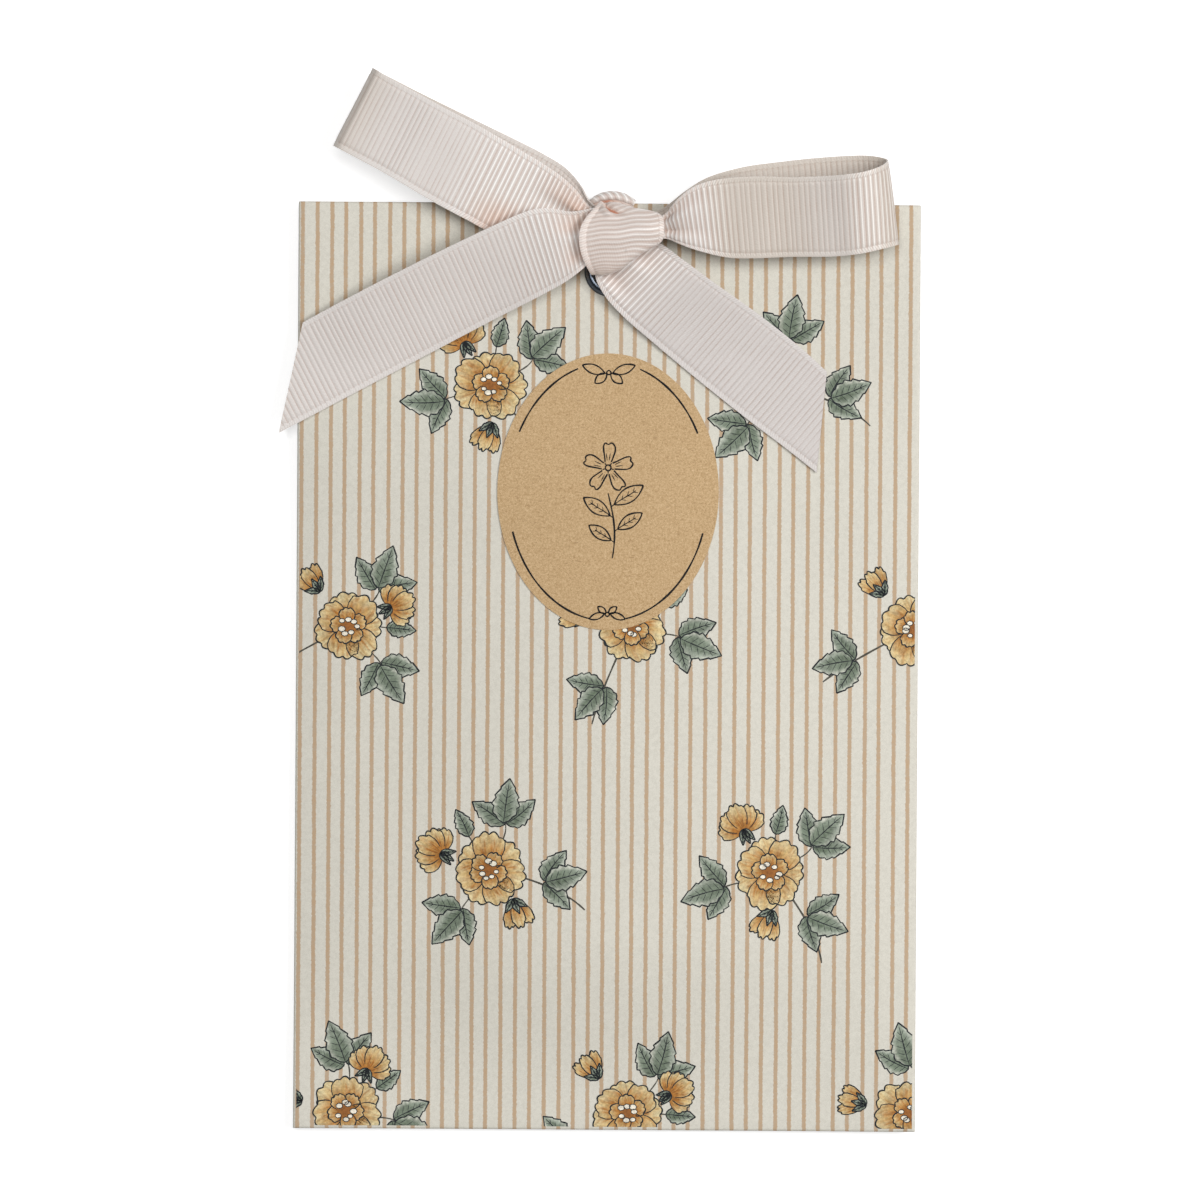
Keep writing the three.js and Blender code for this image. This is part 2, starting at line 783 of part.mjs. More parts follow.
function bow() {
  const group = new THREE.Group();
  group.add(part("hanger_strand", hangerStrand(), paleGrosgrain()));
  group.add(part("bow_knot", bowKnot(), paleGrosgrain()));
  group.add(part("bow_loop_left", bowLoopLeft(), paleGrosgrain()));
  group.add(part("bow_loop_right", bowLoopRight(), paleGrosgrain()));
  group.add(part("ribbon_tail_left", ribbonTailLeft(), paleGrosgrain()));
  group.add(part("ribbon_tail_right", ribbonTailRight(), paleGrosgrain()));
  return group;
}

const sachet = new THREE.Group();
sachet.add(envelope(), filling(), eyelet(), bow());

export default sachet;
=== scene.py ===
"""Looks of a scented sachet, a filled paper envelope closed by an eyelet and a ribbon bow.

Sizes are in millimetres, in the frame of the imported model: it lies on its back, +X is to the right of the
printed face, +Y runs to the eyelet end and +Z points up. Meshes are made in metres.
"""

from __future__ import annotations

import logging
import math
from contextlib import contextmanager
from dataclasses import dataclass, field
from enum import Enum
from functools import cached_property, partialmethod
from itertools import product
from typing import Callable, Iterator, Sequence

import bmesh
import bpy
import numpy as np
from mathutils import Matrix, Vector


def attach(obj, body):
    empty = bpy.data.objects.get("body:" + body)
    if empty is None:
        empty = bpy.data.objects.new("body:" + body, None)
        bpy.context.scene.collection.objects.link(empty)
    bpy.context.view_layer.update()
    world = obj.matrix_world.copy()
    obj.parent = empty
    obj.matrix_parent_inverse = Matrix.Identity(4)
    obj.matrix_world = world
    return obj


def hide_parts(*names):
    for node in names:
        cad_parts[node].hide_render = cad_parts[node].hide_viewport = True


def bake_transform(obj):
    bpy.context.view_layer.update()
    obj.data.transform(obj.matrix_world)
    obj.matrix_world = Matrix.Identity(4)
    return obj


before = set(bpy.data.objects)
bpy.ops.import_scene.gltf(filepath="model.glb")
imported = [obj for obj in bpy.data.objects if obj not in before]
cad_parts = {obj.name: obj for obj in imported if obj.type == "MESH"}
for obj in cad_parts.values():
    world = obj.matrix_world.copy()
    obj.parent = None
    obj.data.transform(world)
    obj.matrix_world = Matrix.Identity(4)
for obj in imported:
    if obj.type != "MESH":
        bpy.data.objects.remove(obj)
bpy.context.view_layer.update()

MM = 0.001
LOG = logging.getLogger("sachet")

Array = np.ndarray
Piece = bpy.types.Object
Triple = tuple[float, float, float]
Inputs = dict[str | int, object]

# A grid cell's corners, as steps along its rows and columns.
CORNERS = ((0, 0), (0, 1), (1, 1), (1, 0))

# How far from a hole places are drawn to its rim, as a share of its radius, and from where in millimetres.
HOLE_REACH, HOLE_CORE = 1.12, 0.3


def ramp(value: Array | float, low: float, high: float) -> Array:
    """Rises smoothly from zero at low to one at high."""
    t = np.clip((np.asarray(value, float) - low) / (high - low), 0.0, 1.0)
    return t * t * (3.0 - 2.0 * t)


def hump(value: Array | float, middle: float, spread: float) -> Array:
    """One at the middle, dying away on both sides of it."""
    return np.exp(-(((value - middle) / spread) ** 2))


def linear(code: str) -> Array:
    """Turns a written colour such as e0dccf into three linear values."""
    shares = np.array([int(code[i : i + 2], 16) for i in (0, 2, 4)]) / 255.0
    return np.where(shares <= 0.04045, shares / 12.92, ((shares + 0.055) / 1.055) ** 2.4)


@dataclass(frozen=True)
class SachetShape:
    """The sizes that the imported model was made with, and the heights that its sheets follow."""

    width: float = 110.0
    height: float = 164.0
    paper: float = 0.25
    glue_gap: float = 0.15
    side_hem: float = 11.0
    bottom_hem: float = 14.0
    top_flap: float = 23.0
    mitre_gap: float = 1.0
    rest_width: float = 60.0
    rest_top: float = 16.0
    rest_bottom: float = 50.0
    side_lift: float = 1.6
    bottom_lift: float = 1.6
    top_lift: float = 3.0
    closure_depth: float = 22.0
    fill_depth: float = 6.2
    fill_top_ramp: float = 34.0
    fill_bottom_ramp: float = 30.0
    bottom_seam: float = 4.0
    eyelet_drop: float = 12.0

    @property
    def fold_radius(self) -> float:
        """How far the middle of the front sheet is from the middle of its folds."""
        return self.paper + self.glue_gap

    @property
    def half_width(self) -> float:
        """Where the side folds begin."""
        return self.width / 2 - self.fold_radius

    @property
    def half_height(self) -> float:
        """Where the end folds begin."""
        return self.height / 2 - self.fold_radius

    @property
    def closure_line(self) -> float:
        """Where the pressed top begins."""
        return self.height / 2 - self.closure_depth

    @property
    def closure_top(self) -> float:
        """Height of the printed face in the pressed top."""
        return self.top_lift + self.fold_radius + self.paper

    @property
    def eyelet_place(self) -> float:
        """The eyelet's place along Y."""
        return self.height / 2 - self.eyelet_drop

    def back_height(self, x: Array, y: Array) -> Array:
        """Height of the back sheet's lower face."""
        side = self.side_lift * ramp(np.abs(x), self.rest_width / 2, self.width / 2)
        top = self.top_lift * ramp(y, self.rest_top, self.closure_line)
        bottom = self.bottom_lift * ramp(-y, self.rest_bottom, self.height / 2)
        end = np.maximum(top, bottom)
        return side + end - side * end / self.top_lift

    def fill_share(self, x: Array, y: Array) -> Array:
        """How full the envelope is at a place, from none at its seams to one in its middle."""
        across = np.maximum(0.0, 1.0 - (x / self.half_width) ** 2)
        top = ramp(self.closure_line - y, 0.0, self.fill_top_ramp)
        bottom = ramp(y + self.half_height - self.bottom_seam, 0.0, self.fill_bottom_ramp)
        return across * top * bottom

    def waves(self, x: Array, y: Array) -> Array:
        """Faint waves of the filled paper, which die out at its seams."""
        share = ramp(self.fill_share(x, y), 0.0, 0.25)
        slow = np.sin(x / 11.0 + 0.6) * np.cos(y / 17.0 - 0.4)
        grains = np.sin(x / 4.3 + np.sin(y / 9.0)) * np.sin(y / 5.1 + 1.3 * np.sin(x / 8.0))
        return share * (0.1 * slow + 0.045 * grains)

    def front_height(self, x: Array, y: Array) -> Array:
        """Height of the front sheet's lower face."""
        rise = self.fill_depth * self.fill_share(x, y)
        return self.back_height(x, y) + self.fold_radius + rise + self.waves(x, y)

    def face_height(self, x: Array, y: Array) -> Array:
        """Height of the printed face."""
        return self.front_height(x, y) + self.paper


SHAPE = SachetShape()


def new_object(name: str, places: Array, faces: Sequence[Sequence[int]]) -> Piece:
    """Makes a mesh object.

    Args:
        name: The piece's name.
        places: Its vertices in millimetres, one row each.
        faces: Its faces as vertex numbers.

    Returns:
        The object, linked to the scene and smooth shaded.
    """
    mesh = bpy.data.meshes.new(name)
    mesh.from_pydata((np.asarray(places, float) * MM).tolist(), [], [list(f) for f in faces])
    mesh.validate()
    mesh.polygons.foreach_set("use_smooth", [True] * len(mesh.polygons))
    piece = bpy.data.objects.new(name, mesh)
    bpy.context.scene.collection.objects.link(piece)
    return piece


@contextmanager
def edited(piece: Piece) -> Iterator[bmesh.types.BMesh]:
    """Opens a piece's mesh for edits and writes it back."""
    work = bmesh.new()
    work.from_mesh(piece.data)
    yield work
    work.to_mesh(piece.data)
    work.free()


def cut_off(work: bmesh.types.BMesh, spot: Vector, facing: Vector) -> None:
    """Cuts off what lies beyond the plane at a spot."""
    everything = [*work.verts, *work.edges, *work.faces]
    bmesh.ops.bisect_plane(work, geom=everything, plane_co=spot, plane_no=facing, clear_outer=True)


def face_out(piece: Piece, sharp: float = 50.0) -> None:
    """Turns a closed piece's faces outwards and keeps its corners sharp.

    Args:
        piece: The piece to finish.
        sharp: The angle in degrees from which an edge is a corner.
    """
    with edited(piece) as work:
        bmesh.ops.recalc_face_normals(work, faces=work.faces)
    piece.data.set_sharp_from_angle(angle=math.radians(sharp))


def write_weave(piece: Piece, values: Array) -> None:
    """Writes the piece's places in its own flat cloth, in millimetres, as the UV map weave."""
    layer = piece.data.uv_layers.new(name="weave")
    corners = np.empty(len(piece.data.loops), np.int32)
    piece.data.loops.foreach_get("vertex_index", corners)
    layer.data.foreach_set("uv", np.asarray(values, np.float32)[corners].ravel())


def write_mask(piece: Piece, name: str, values: Array) -> None:
    """Writes one number for each vertex as a named attribute."""
    attribute = piece.data.attributes.new(name, "FLOAT", "POINT")
    attribute.data.foreach_set("value", np.asarray(values, np.float32).ravel())


def grid_normals(grid: Array) -> Array:
    """The direction that a grid of places faces at each place. Places that aren't there hold nan."""
    a, b, c, d = grid[:-1, :-1], grid[:-1, 1:], grid[1:, 1:], grid[1:, :-1]
    facing = np.nan_to_num(np.cross(c - a, d - b))
    rows, columns = facing.shape[:2]
    normals = np.zeros(grid.shape)
    for down, along in CORNERS:
        normals[down : rows + down, along : columns + along] += facing
    return normals / np.maximum(np.linalg.norm(normals, axis=2, keepdims=True), 1e-12)


def sheet_piece(
    name: str,
    grid: Array,
    thickness: Array | float,
    weave: Array,
    masks: dict[str, Array] | None = None,
    absent: Array | None = None,
) -> Piece:
    """Makes a closed sheet of a given thickness about a grid of places.

    Args:
        name: The piece's name.
        grid: Rows and columns of places in millimetres, nan where the sheet has none.
        thickness: One thickness, or one for each place.
        weave: The flat place of each grid place in the cloth, in millimetres.
        masks: Numbers for each grid place, by attribute name.
        absent: True for each cell that is cut out of the sheet.

    Returns:
        The piece, with its upper face first and its cut edges closed.
    """
    rows, columns = grid.shape[:2]
    there = ~np.isnan(grid[:, :, 0])
    cells = np.ones((rows - 1, columns - 1), bool) if absent is None else ~absent
    for r, c in CORNERS:
        cells &= there[r : rows - 1 + r, c : columns - 1 + c]
    used = np.zeros((rows, columns), bool)
    for r, c in CORNERS:
        used[r : rows - 1 + r, c : columns - 1 + c] |= cells
    number = np.cumsum(used.ravel()).reshape(rows, columns) - 1
    count = int(used.sum())
    half = grid_normals(grid) * np.broadcast_to(thickness, (rows, columns))[:, :, None] / 2
    faces: list[tuple[int, ...]] = []
    rim: dict[tuple[int, int], bool] = {}
    for r, c in np.argwhere(cells):
        quad = (number[r, c], number[r, c + 1], number[r + 1, c + 1], number[r + 1, c])
        faces += [quad, tuple(v + count for v in reversed(quad))]
        for a, b in zip(quad, (*quad[1:], quad[0])):
            if not rim.pop((b, a), False):
                rim[a, b] = True
    faces.extend((b, a, a + count, b + count) for a, b in rim)
    piece = new_object(name, np.concatenate([(grid + half)[used], (grid - half)[used]]), faces)
    write_weave(piece, np.tile(weave[used], (2, 1)))
    for mask, values in (masks or {}).items():
        write_mask(piece, mask, np.tile(values[used], 2))
    face_out(piece)
    return piece


def even_lines(low: float, high: float, cell: float) -> Array:
    """Lines from low to high, about one cell apart."""
    return np.linspace(low, high, max(2, round((high - low) / cell) + 1))


def rounded_hole(grid: Array, centre: float, radius: float) -> Array:
    """Draws the places round a hole at (0, centre) out to its rim, and tells which cells the hole takes.

    Args:
        grid: The sheet's places, which are changed.
        centre: The hole's place along Y.
        radius: The hole's radius.

    Returns:
        True for each cell that lies in the hole.
    """
    x, y = grid[:, :, 0], grid[:, :, 1] - centre
    reach = np.hypot(x, y)
    inside = np.nan_to_num(reach, nan=math.inf) < radius * HOLE_REACH
    scale = np.where(inside & (reach > HOLE_CORE), radius / np.maximum(reach, HOLE_CORE), 1.0)
    grid[:, :, 0], grid[:, :, 1] = x * scale, centre + y * scale
    return inside[:-1, :-1] & inside[:-1, 1:] & inside[1:, 1:] & inside[1:, :-1]


class Effect(Enum):
    """The effects that several finishes share, each a node group."""

    FIBRE = "fibre_grain"
    HANDLING = "handling_tone"


@dataclass(frozen=True)
class Signal:
    """A node's output, which can be reckoned with like a number."""

    wiring: Wiring
    socket: bpy.types.NodeSocket

    def reckon(self, operation: str, *others: object, clamp: bool = False) -> Signal:
        """Reckons with this value and others."""
        return self.wiring.reckon(operation, self, *others, clamp=clamp)

    __add__ = partialmethod(reckon, "ADD")
    __sub__ = partialmethod(reckon, "SUBTRACT")
    __mul__ = partialmethod(reckon, "MULTIPLY")
    __truediv__ = partialmethod(reckon, "DIVIDE")
    __abs__ = partialmethod(reckon, "ABSOLUTE")

    def __rsub__(self, other: float) -> Signal:
        """A number less this value."""
        return self.wiring.reckon("SUBTRACT", other, self)

    def wave(self) -> Signal:
        """Zero at each whole value and one half-way between them."""
        return abs((self * math.pi).reckon("SINE"))

    def span(self, low: float, high: float, start: float = 0.0, end: float = 1.0) -> Signal:
        """Moves this value smoothly from the range low to high to the range start to end."""
        numbers = dict(enumerate((self, low, high, start, end)))
        return self.wiring.out(0, "MapRange", numbers, interpolation_type="SMOOTHSTEP")

    def mix(self, first: object, second: object, blend: str = "MIX") -> Signal:
        """Goes from one colour to another by this share."""
        return self.wiring.out(2, "Mix", {0: self, 6: first, 7: second}, data_type="RGBA", blend_type=blend)


class Wiring:
    """Adds nodes to a shader tree and links them."""

    def __init__(self, tree: bpy.types.NodeTree) -> None:
        """Keeps the tree that the nodes go to."""
        self.tree = tree

    def add(self, kind: str, inputs: Inputs | None = None, **settings: object) -> bpy.types.Node:
        """Adds a node.

        Args:
            kind: The node's type, without its ShaderNode prefix.
            inputs: What goes to its inputs, by name or number.
            **settings: The node's own settings.

        Returns:
            The node.
        """
        node = self.tree.nodes.new(kind if kind.startswith("NodeGroup") else f"ShaderNode{kind}")
        for name, value in settings.items():
            setattr(node, name, value)
        self.feed(node, inputs or {})
        return node

    def feed(self, node: bpy.types.Node, inputs: Inputs) -> None:
        """Links a node's inputs to signals, or gives them numbers or written colours."""
        for name, value in inputs.items():
            if isinstance(value, Signal):
                self.tree.links.new(value.socket, node.inputs[name])
            else:
                node.inputs[name].default_value = (*linear(value), 1.0) if isinstance(value, str) else value

    def out(self, output: str | int, kind: str, inputs: Inputs | None = None, **settings: object) -> Signal:
        """Adds a node and returns one of its outputs."""
        return Signal(self, self.add(kind, inputs, **settings).outputs[output])

    def reckon(self, operation: str, *values: object, clamp: bool = False) -> Signal:
        """Reckons with signals and numbers."""
        return self.out(0, "Math", dict(enumerate(values)), operation=operation, use_clamp=clamp)

    def noise(self, place: Signal, scale: float, detail: float = 2.0, rough: float = 0.5) -> Signal:
        """A noise over a place."""
        return self.out("Fac", "TexNoise", {"Vector": place, "Scale": scale, "Detail": detail, "Roughness": rough})

    def axes(self, place: Signal) -> tuple[Signal, Signal]:
        """A place's X and Y."""
        parts = self.add("SeparateXYZ", {0: place})
        return Signal(self, parts.outputs["X"]), Signal(self, parts.outputs["Y"])

    def own(self, name: str, output: str = "Fac") -> Signal:
        """The mesh's own attribute of a name."""
        return self.out(output, "Attribute", attribute_name=name)

    @cached_property
    def place(self) -> Signal:
        """The place on the object, in metres, that a finish's pattern follows."""
        return self.out("Object", "TexCoord")

    def effect(self, effect: Effect, inputs: Inputs) -> bpy.types.Node:
        """Places a shared effect, which is made when it is first asked for."""
        group = bpy.data.node_groups.get(effect.value) or EFFECT_MAKERS[effect]()
        node = self.add("Group", node_tree=group)
        self.feed(node, {"Place": self.place, **inputs})
        return node

    def fibres(self, scale: float) -> tuple[Signal, Signal]:
        """The mottle and the height of the shared fibres."""
        node = self.effect(Effect.FIBRE, {"Scale": scale})
        return Signal(self, node.outputs["Mottle"]), Signal(self, node.outputs["Height"])

    def handled(self, colour: Signal, amount: float) -> Signal:
        """A colour with the shared change of tone."""
        node = self.effect(Effect.HANDLING, {"Colour": colour, "Amount": amount})
        return Signal(self, node.outputs["Colour"])

    def bump(self, height: Signal, depth: float, strength: float) -> Signal:
        """The normal of a bump of a depth in millimetres."""
        return self.out("Normal", "Bump", {"Strength": strength, "Distance": depth * MM, "Height": height})


def start_group(effect: Effect, inputs: dict[str, str], outputs: dict[str, str]) -> tuple[Wiring, list[Signal]]:
    """Starts a shared effect's node group.

    Args:
        effect: The effect that it is for.
        inputs: The kind of each input socket.
        outputs: The kind of each output socket.

    Returns:
        The group's wiring and its inputs.
    """
    group = bpy.data.node_groups.new(effect.value, "ShaderNodeTree")
    for way, sockets in (("INPUT", inputs), ("OUTPUT", outputs)):
        for name, kind in sockets.items():
            group.interface.new_socket(name=name, in_out=way, socket_type=f"NodeSocket{kind}")
    wiring = Wiring(group)
    given = wiring.add("NodeGroupInput")
    return wiring, [Signal(wiring, given.outputs[name]) for name in inputs]


def fibre_grain() -> bpy.types.NodeTree:
    """Paper and felt fibres: a mottle for the colour and a height for the bump."""
    outputs = {"Mottle": "Float", "Height": "Float"}
    wiring, (given, scale) = start_group(Effect.FIBRE, {"Place": "Vector", "Scale": "Float"}, outputs)
    place = wiring.out(0, "VectorMath", {0: given, "Scale": scale}, operation="SCALE")
    fine, coarse = wiring.noise(place, 1.0, 3.0, 0.7), wiring.noise(place, 0.21)
    cells = wiring.out("Distance", "TexVoronoi", {"Vector": place, "Scale": 0.55}, feature="SMOOTH_F1")
    wiring.add("NodeGroupOutput", {"Mottle": fine * 0.72 + coarse * 0.28, "Height": fine * 0.6 + cells * 0.4})
    return wiring.tree


def handling_tone() -> bpy.types.NodeTree:
    """The slow change of tone that handling and storing leave on paper, cloth and metal."""
    inputs = {"Place": "Vector", "Colour": "Color", "Amount": "Float"}
    wiring, (place, colour, amount) = start_group(Effect.HANDLING, inputs, {"Colour": "Color"})
    value = (wiring.noise(place, 38.0, 3.0, 0.55) - 0.5) * amount + 1.0
    wiring.add("NodeGroupOutput", {"Colour": wiring.out(0, "HueSaturation", {"Color": colour, "Value": value})})
    return wiring.tree


EFFECT_MAKERS: dict[Effect, Callable[[], bpy.types.NodeTree]] = {
    Effect.FIBRE: fibre_grain,
    Effect.HANDLING: handling_tone,
}


class Finish:
    """A material that is made once, on first use."""

    name: str = "finish"

    def material(self) -> bpy.types.Material:
        """The finish's material."""
        made = bpy.data.materials.get(self.name)
        if not made:
            made = bpy.data.materials.new(self.name)
            made.use_nodes = True
            wiring = Wiring(made.node_tree)
            wiring.feed(made.node_tree.nodes["Principled BSDF"], self.inputs(wiring))
        return made

    def inputs(self, wiring: Wiring) -> Inputs:
        """What goes to the shader's inputs."""
        raise NotImplementedError


@dataclass(frozen=True)
class StripedPaper(Finish):
    """Uncoated cream paper with printed vertical stripes whose edges waver a little."""

    name: str = "striped_paper"
    ground: str = "dfdbcf"
    stripe: str = "c1a382"
    fleck: str = "8f8a7c"
    pitch: float = 2.565
    first: float = -0.485
    stripe_width: float = 0.7

    def inputs(self, wiring: Wiring) -> Inputs:
        """Ground, stripes, fibres and tone."""
        place, (mottle, height) = wiring.place, wiring.fibres(6200.0)
        across = (wiring.axes(place)[0] - self.first * MM) / (self.pitch * MM)
        number = (across + 0.5).reckon("FLOOR")
        strayed = (wiring.out("Value", "TexWhiteNoise", {"W": number}, noise_dimensions="1D") - 0.5) * 0.07
        ragged = (wiring.noise(place, 2600.0) - 0.5) * 0.13
        slow = (wiring.noise(place, 240.0, 1.0) - 0.5) * 0.05
        off = abs(across - number + strayed + slow) + ragged
        half = self.stripe_width / self.pitch / 2
        inked = off.span(half + 0.03, half - 0.03) * mottle.span(0.3, 0.62, 0.72, 1.0)
        grained = mottle.span(0.38, 0.6, 0.2, 0.0).mix(inked.mix(self.ground, self.stripe), self.fleck)
        return {"Base Color": wiring.handled(grained, 0.05), "Roughness": 0.78, "Specular IOR Level": 0.3,
                "Normal": wiring.bump(height, 0.05, 0.55)}


@dataclass(frozen=True)
class KraftPaper(Finish):
    """Brown label paper, speckled with light and dark fibres."""

    name: str = "kraft_paper"
    ground: str = "c9a97f"
    dark: str = "a58559"
    light: str = "dfc39a"
    fibre: str = "8a6740"

    def inputs(self, wiring: Wiring) -> Inputs:
        """Ground, speckles and fibres."""
        mottle, height = wiring.fibres(15000.0)
        dark = mottle.span(0.5, 0.4).mix(self.ground, self.dark)
        both = mottle.span(0.52, 0.61).mix(dark, self.light)
        streaks = wiring.out(0, "Mapping", {"Vector": wiring.place, "Scale": (900.0, 2900.0, 900.0)})
        fibred = wiring.noise(streaks, 1.0, 2.0, 0.6).span(0.6, 0.72, 0.0, 0.35).mix(both, self.fibre)
        return {"Base Color": wiring.handled(fibred, 0.07), "Roughness": 0.82, "Specular IOR Level": 0.25,
                "Normal": wiring.bump(height, 0.05, 0.6)}


@dataclass(frozen=True)
class PrintedColour(Finish):
    """Printed colour that soaks into the paper, with washes from the mesh's own colours."""

    name: str = "printed_colour"
    mottled: float = 0.26

    def inputs(self, wiring: Wiring) -> Inputs:
        """The washes and their uneven soaking."""
        mottle, height = wiring.fibres(1900.0)
        share = mottle.span(0.34, 0.66, 1.0 - self.mottled, 1.0 + self.mottled)
        wash = wiring.out(0, "HueSaturation", {"Color": wiring.own("ink", "Color"), "Value": share})
        return {"Base Color": wash, "Roughness": 0.72, "Specular IOR Level": 0.3,
                "Normal": wiring.bump(height, 0.05, 0.5)}


@dataclass(frozen=True)
class Grosgrain(Finish):
    """Ribbed ribbon: floating threads over each rib, grooves darkened with painted shade, a closer woven edge, painted
    highlights and painted warm shade in its folds.
    """

    name: str = "pale_grosgrain"
    thread: str = "dad3ce"
    # Painted light: the groove colour is shade between the ribs, the next colour a highlight, the next two warm shade
    # in folds and in the deepest creases, and the last shade where the loops turn away and lie behind.
    groove: str = "bea69a"
    gleam: str = "fbf7f3"
    fold: str = "ecc2a8"
    deep_fold_shade: str = "dd9c7e"
    shade: str = "e2dbcf"
    pitch: float = 0.95
    width: float = 15.0
    thread_pitch: float = 0.3

    def inputs(self, wiring: Wiring) -> Inputs:
        """Threads, painted groove shade and edge, with painted highlights, painted warm shade in the folds and painted
        shade where the ribbon turns away.
        """
        flat = wiring.out(0, "UVMap", uv_map="weave")
        along, across = wiring.axes(flat)
        gleaming, folded, turned_away = (wiring.own(name) for name in ("gleam", "fold", "shade"))
        rib = along / self.pitch
        crest = rib.wave()
        thread = (across / self.thread_pitch + rib * 0.9).wave()
        uneven = wiring.noise(flat, 3.1, 3.0, 0.6)
        from_edge = across.reckon("MINIMUM", self.width - across)
        body = from_edge.span(0.9, 1.2)
        seam = from_edge.span(0.7, 0.9) * from_edge.span(1.2, 0.98)
        patchy = wiring.noise(flat, 0.14).span(0.35, 0.65, 0.3, 0.62)
        # The grooves take the groove colour as painted shade, in patches; the seam's dotted line is woven.
        low = crest.span(0.5, 0.05) * (body * 0.75 + 0.25)
        dark = (low * patchy).reckon("MAXIMUM", seam * crest.span(0.8, 0.3, 0.05, 0.42))
        shade = dark + uneven.span(0.36, 0.64, -0.08, 0.1)
        total = shade.reckon("ADD", thread.span(0.5, 0.0, 0.0, 0.12) * body, clamp=True)
        # Spots of the woven edge, brightened with the gleam colour as a painted highlight where the gleam mask is
        # strong.
        spot = (rib * 2.0 + from_edge * 1.1).wave().span(0.35, 0.85)
        sparkle = spot * from_edge.span(1.0, 0.75) * gleaming.span(0.0, 0.8, 0.2, 0.65)
        # A painted highlight along each rib's crest, as far as the gleam mask reaches.
        lit = crest.span(0.9, 0.99) * body * uneven.span(0.3, 0.6, 0.7, 1.0) * gleaming
        colour = sparkle.mix(total.mix(self.thread, self.groove), self.gleam)
        colour = lit.reckon("MULTIPLY", 1.4, clamp=True).mix(colour, self.gleam)
        # A little painted warm shade in the grooves where the gleam mask is.
        warm_groove_shade = gleaming * 0.2 * crest.span(0.85, 0.5)
        # Painted light: warm shade in the folds, deeper warm shade in the deepest creases, and shade where the ribbon
        # turns away from the lamps.
        for share, tint in (
            ((folded * 0.75).reckon("ADD", warm_groove_shade, clamp=True), self.fold),
            (folded.span(0.76, 1.0, 0.0, 0.75), self.deep_fold_shade),
            (turned_away.reckon("MULTIPLY", 0.7, clamp=True), self.shade),
        ):
            colour = share.mix(colour, tint, "MULTIPLY")
        return {"Base Color": wiring.handled(colour, 0.05), "Roughness": crest.span(0.1, 0.9, 0.6, 0.38),
                "Coat Weight": 0.35, "Coat Roughness": 0.3, "Specular IOR Level": 0.45, "Sheen Weight": 0.25,
                "Sheen Roughness": 0.4, "Normal": wiring.bump(thread * 0.55 + uneven * 0.45, 0.06, 0.6)}


@dataclass(frozen=True)
class DarkNickel(Finish):
    """Blue-grey plated steel, faintly scuffed, with painted highlight rings."""

    name: str = "plated_nickel"
    metal: str = "3c424b"
    rim_highlight: str = "9aa0a8"

    def inputs(self, wiring: Wiring) -> Inputs:
        """The plating, its scuffs, its painted highlight rings and its tone."""
        turn = {"Vector": wiring.place, "Rotation": (0.0, 0.0, 0.6), "Scale": (700.0, 6000.0, 700.0)}
        scuff = wiring.noise(wiring.out(0, "Mapping", turn), 1.0, 3.0, 0.6)
        # Painted highlight rings from the mesh's mask, broken up by the scuffs.
        colour = (wiring.own("rim_highlight") * scuff.span(0.3, 0.6, 0.6, 1.0)).mix(self.metal, self.rim_highlight)
        return {"Base Color": wiring.handled(colour, 0.2), "Metallic": 1.0,
                "Roughness": scuff.span(0.4, 0.7, 0.14, 0.3), "Normal": wiring.bump(scuff, 0.01, 0.4)}


@dataclass(frozen=True)
class NonWoven(Finish):
    """White felted pouch cloth with pressed dots."""

    name: str = "felted_cloth"
    cloth: str = "ece9e2"
    fibre: str = "c9c4b8"
    dot: str = "d5d0c4"
    dot_pitch: float = 1.1

    def inputs(self, wiring: Wiring) -> Inputs:
        """Fibres and pressed dots."""
        mottle, height = wiring.fibres(1500.0)
        cells = {"Vector": wiring.place, "Scale": 1.0 / (self.dot_pitch * MM), "Randomness": 0.15}
        pressed = wiring.out("Distance", "TexVoronoi", cells).span(0.34, 0.22)
        mottled = mottle.span(0.35, 0.6, 0.35, 0.0).mix(self.cloth, self.fibre)
        return {"Base Color": (pressed * 0.3).mix(mottled, self.dot), "Roughness": 0.92,
                "Normal": wiring.bump(height - pressed * 0.8, 0.08, 0.8)}


@dataclass(frozen=True)
class ScentedGrain(Finish):
    """Dry tan grains, each of its own tone."""

    name: str = "dry_grain"
    grain: str = "b5915e"
    pale: str = "d2b68c"
    pit: str = "7c5c34"

    def inputs(self, wiring: Wiring) -> Inputs:
        """The grains' tones and their rough faces."""
        mottle, height = wiring.fibres(1400.0)
        colour = wiring.own("own_tone").mix(self.grain, self.pale)
        return {"Base Color": mottle.span(0.5, 0.36, 0.0, 0.5).mix(colour, self.pit), "Roughness": 0.9,
                "Normal": wiring.bump(height, 0.15, 0.8)}


@dataclass(frozen=True)
class PaleFloor(Finish):
    """A white table top that shows white to the camera and keeps the object's shadow."""

    name: str = "pale_floor"
    ground: str = "dcdcdc"
    glow: float = 0.62

    def inputs(self, wiring: Wiring) -> Inputs:
        """The glow that only the camera, glossy and clear rays see."""
        light = wiring.add("LightPath")
        camera, glossy, clear = (
            Signal(wiring, light.outputs[f"Is {ray} Ray"]) for ray in ("Camera", "Glossy", "Transmission")
        )
        seen = camera.reckon("MAXIMUM", glossy).reckon("MAXIMUM", clear)
        return {"Base Color": self.ground, "Roughness": 0.9, "Specular IOR Level": 0.1,
                "Emission Color": seen, "Emission Strength": self.glow}


def dress(piece: Piece, finish: Finish, body: str | None = "envelope") -> None:
    """Gives a piece its finish, and lets it ride on a body if one is named."""
    piece.data.materials.clear()
    piece.data.materials.append(finish.material())
    if body:
        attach(piece, body)


